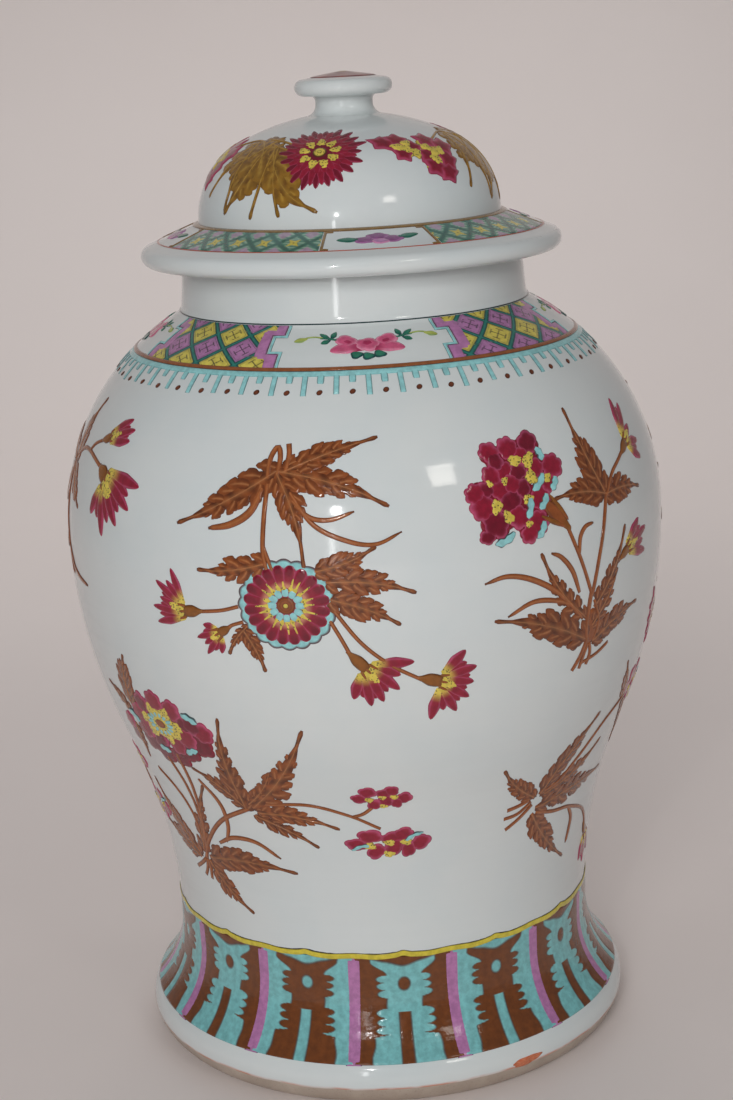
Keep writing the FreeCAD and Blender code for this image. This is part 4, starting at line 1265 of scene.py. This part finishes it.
def brim_band():
    """Four green lattice fields between small flower reserves, on the slope of the brim."""
    top = BRIM.top - 2.8
    low = BRIM.top - 22.5
    spacing = 360 / RESERVES
    half = spacing / 2 - BRIM_HALF_RESERVE
    for k in range(RESERVES):
        brim_field(k, BRIM_RESERVE_AZIMUTH + spacing * (k + 0.5), half, low, top, brim_paint())
        brim_flower(k, BRIM_RESERVE_AZIMUTH + spacing * k, (low + top) / 2)
    e = Enamel("brim_lines", BRIM, "lid")
    ring(e, BRIM.top - 1.7, 3.2, outlined(BAND_OCHRE, OCHRE_DARK, 0.70), 0.42)
    ring(e, low - 0.5, 0.8, plain(RED_LINE), 0.24)
    e.finish()


def dome_flower(e, x, y, size):
    """A chrysanthemum of pointed petals round a ring of stippled yellow ovals."""
    petals = 20
    e.button(x, y, lambda a: size * 0.55, plain(MAGENTA_DEEP), 0.36, 40, 6)
    rows = ((0.35, 1.0, 0.44), (0.30, 0.86, 0.52), (0.25, 0.66, 0.60))
    for row, (inner, outer, height) in enumerate(rows):
        for k in range(petals):
            angle = 2 * math.pi * (k + 0.5 * row) / petals
            way = np.array([math.cos(angle), math.sin(angle)])
            reach = outer * e.chance.uniform(0.92, 1.05)
            petal(e, (x, y) + way * size * inner, (x, y) + way * size * reach, size * 0.25,
                  MAGENTA if row else MAGENTA_DEEP, mix(PINK, MAGENTA, 0.35), MAGENTA, height,
                  round_end=0.62, root_width=0.6)
    ovals = 9
    for k in range(ovals):
        angle = 2 * math.pi * (k + 0.3) / ovals
        yellow_patch(e, x + size * 0.37 * math.cos(angle), y + size * 0.37 * math.sin(angle), size * 0.16,
                     0.72, 0.80, math.degrees(angle))
    e.button(x, y, lambda a: size * 0.17, rimmed(YELLOW, BROWN_DARK, 0.66), 0.78, 28, 8)
    e.button(x, y, lambda a: size * 0.07, rimmed(YELLOW_PLAIN, BROWN_DARK, 0.5), 0.88, 20, 5)


def dome_peony(e, x, y):
    """A loose head of angular petals with yellow stipple between them."""
    spots = [(-17, 8, 7.4), (-9, 10, 6.8), (-4, 3, 6.6), (7, 8, 7.2), (15, 2, 7.8),
             (-11, -1, 5.8), (2, -3, 6.6), (13, -7, 7.4), (3, -10, 7.0), (10, -14, 6.8)]
    hearts = [(-12, 4), (-6, 6), (-4, -1), (4, 2), (7, -2), (11, -1), (5, -6), (-8, 2)]
    for dx, dy, size in spots:
        yellow_patch(e, x + dx * 0.8, y + dy * 0.8, size * 0.8, 0.34)
    for k, (dx, dy, size) in enumerate(spots):
        phase = 0.7 * k
        def reach(angle):
            corner = ((angle + phase) * 5 / math.pi / 2) % 1 - 0.5
            return size * (0.74 + 1.1 * np.abs(corner) ** 1.6)
        def paint_at(share, angle):
            rim = mix(MAGENTA, PINK, 0.7 * ramp(share, 0.5, 0.85))
            rim = mix(rim, MAGENTA_DEEP, 0.6 * ramp(share, 0.90, 1.0))
            return mix(rim, MAGENTA_DEEP, 0.5 * (1 - ramp(share, 0.2, 0.6)))
        e.button(x + dx, y + dy, reach, paint_at, 0.44 + 0.04 * (k % 5), 40, 6, 0.9, 40 * k)
    for k, (dx, dy) in enumerate(hearts):
        yellow_patch(e, x + dx, y + dy, 3.8, 0.70, 0.8, 50 * k)


def dome_sprays():
    """The flowers of the dome, with ochre leaves whose long tips trail towards the brim."""
    for k, turn in enumerate((0, 120, 240)):
        e = Enamel(f"dome_chrysanthemum_{k}", DOME, "lid", -12.3 + turn, DOME.at_height(472))
        stem(e, [(-14, 8), (-22, 12), (-32, 14)], 1.8, None, OCHRES)
        stem(e, [(-12, 2), (-22, 6), (-30, 11)], 1.8, None, OCHRES)
        leaf(e, (-24, 13), (-62, -8), 16, 2, 0.10, OCHRES, 0.08, 1.5)
        leaf(e, (-26, 12), (-55, -32), 20, 3, 0.04, OCHRES, 0.12, 1.5)
        leaf(e, (-24, 8), (-36, -34), 9, 1, 0.02, OCHRES, 0.40, 1.3)
        leaf(e, (-23, 8), (-19, -33), 9, 1, -0.04, OCHRES, 0.40, 1.3)
        leaf(e, (-26, 10), (1, -31), 19, 3, -0.16, OCHRES, 0.12, 1.5)
        dome_flower(e, 0, 1.5, 22)
        e.finish()
        e = Enamel(f"dome_peony_{k}", DOME, "lid", 35.5 + turn, DOME.at_height(471))
        stem(e, [(12, 8), (24, 14), (34, 12)], 1.6, None, OCHRES)
        leaf(e, (29, 14), (56, -12), 14, 2, 0.08, OCHRES, 0.14, 1.5)
        leaf(e, (28, 14), (43, -30), 15, 3, 0.08, OCHRES, 0.20, 1.5)
        leaf(e, (27, 13), (23, -23), 12, 2, 0.08, OCHRES, 0.26, 1.5)
        dome_peony(e, 0, 0)
        e.finish()


def knob_flower():
    """The painted disc on top of the knob."""
    e = Enamel("knob_flower", KNOB, "lid")
    def paint_at(offset, up):
        petals = 0.5 + 0.5 * np.cos(np.radians(offset) * 8)
        paint = mix(MAGENTA_DEEP, colour(150, 78, 60), petals * (1 - up) * 0.8)
        paint = mix(paint, colour(196, 170, 90), ramp(up, 0.78, 0.86))
        paint = mix(paint, BROWN_DARK, 1 - ramp(np.abs(up - 0.78), 0.01, 0.04))
        return paint, 0.05 * petals * (1 - up)
    outer = KNOB.top - KNOB_DISC
    e.panel(0.0, lambda up: 180, (outer, KNOB.top - 0.3), paint_at, 0.30, 0.7)
    e.finish()


# ---- The studio ----

def studio_floor():
    """A pale floor that curves up into a backdrop behind the jar."""
    wide, near, far, bend, tall = 5.0, -4.0, 1.3, 0.9, 4.0
    corner = [math.radians(a) for a in range(0, 91, 5)]
    side = [(near, 0.0)] + [(far + bend * math.sin(a), bend - bend * math.cos(a)) for a in corner]
    side.append((far + bend, tall))
    ground = CAD_BOX[0][2]
    points = [(x, y, z + ground) for y, z in side for x in (-wide, wide)]
    faces = [(2 * k, 2 * k + 1, 2 * k + 3, 2 * k + 2) for k in range(len(side) - 1)]
    mesh = bpy.data.meshes.new("floor")
    mesh.from_pydata(points, [], faces)
    mesh.polygons.foreach_set("use_smooth", [True] * len(faces))
    mesh.materials.append(floor_material())
    floor = bpy.data.objects.new("floor", mesh)
    bpy.context.scene.collection.objects.link(floor)


def softbox(name, place, size, power, tint=(1, 1, 1), shape="RECTANGLE", mirrored=True, aim=(0, 0, 0.5)):
    """An area light, placed and aimed in jar heights. It may be left out of reflections."""
    light = bpy.data.lights.new(name, "AREA")
    light.shape = shape
    light.size, light.size_y = size
    light.energy = power
    light.color = tint
    holder = bpy.data.objects.new(name, light)
    holder.location = Vector(place) * HEIGHT
    way = Vector(aim) * HEIGHT - holder.location
    holder.rotation_euler = way.to_track_quat("-Z", "Y").to_euler()
    holder.visible_glossy = mirrored
    bpy.context.scene.collection.objects.link(holder)


def lights():
    """A large frontal key, small lights for the highlights, and light for the backdrop and the back."""
    softbox("key", (-0.7, -4.9, 2.4), (1.3, 1.0), 29, mirrored=False)
    softbox("window", (3.4, -5.4, 4.2), (0.6, 0.5), 5, (1.0, 0.95, 0.88))
    softbox("flash", (-0.40, -2.35, 1.32), (0.04, 0.04), 0.9, shape="DISK")
    softbox("strip", (-0.62, -3.0, 0.74), (0.06, 0.42), 0.5)
    softbox("backdrop_light", (0, 1.0, 3.2), (2.4, 0.6), 6.5, mirrored=False, aim=(0, 4.4, 1.2))
    softbox("back_fill", (0, 3.6, 2.6), (1.6, 0.9), 7, mirrored=False)
    world = bpy.data.worlds.new("studio")
    world.use_nodes = True
    background = world.node_tree.nodes["Background"]
    background.inputs["Color"].default_value = (0.88, 0.89, 0.92, 1)
    background.inputs["Strength"].default_value = 0.20
    bpy.context.scene.world = world


def camera():
    """A long lens from a little over the height of the lid, turned slightly on its own axis."""
    pitch, roll = math.radians(14.17), math.radians(-2.87)
    distance, eye_height = 2.0805 * HEIGHT, 1.0335 * HEIGHT
    lens = bpy.data.cameras.new("camera")
    lens.sensor_width = 36.0
    lens.lens = 66.7
    holder = bpy.data.objects.new("camera", lens)
    ahead = Vector((0, math.cos(pitch), -math.sin(pitch)))
    across = Vector((1, 0, 0))
    up = across.cross(ahead)
    right = across * math.cos(roll) + up * math.sin(roll)
    above = up * math.cos(roll) - across * math.sin(roll)
    basis = Matrix((right, above, -ahead)).transposed().to_4x4()
    holder.matrix_world = Matrix.Translation((0, -distance, eye_height)) @ basis
    bpy.context.scene.collection.objects.link(holder)
    bpy.context.scene.camera = holder
    bpy.context.scene.view_settings.view_transform = "Standard"


glaze_nodes()
body_sprays()
shoulder_band()
shoulder_reserves()
comb_border()
foot_band()
foot_mark()
brim_band()
dome_sprays()
knob_flower()
studio_floor()
lights()
camera()
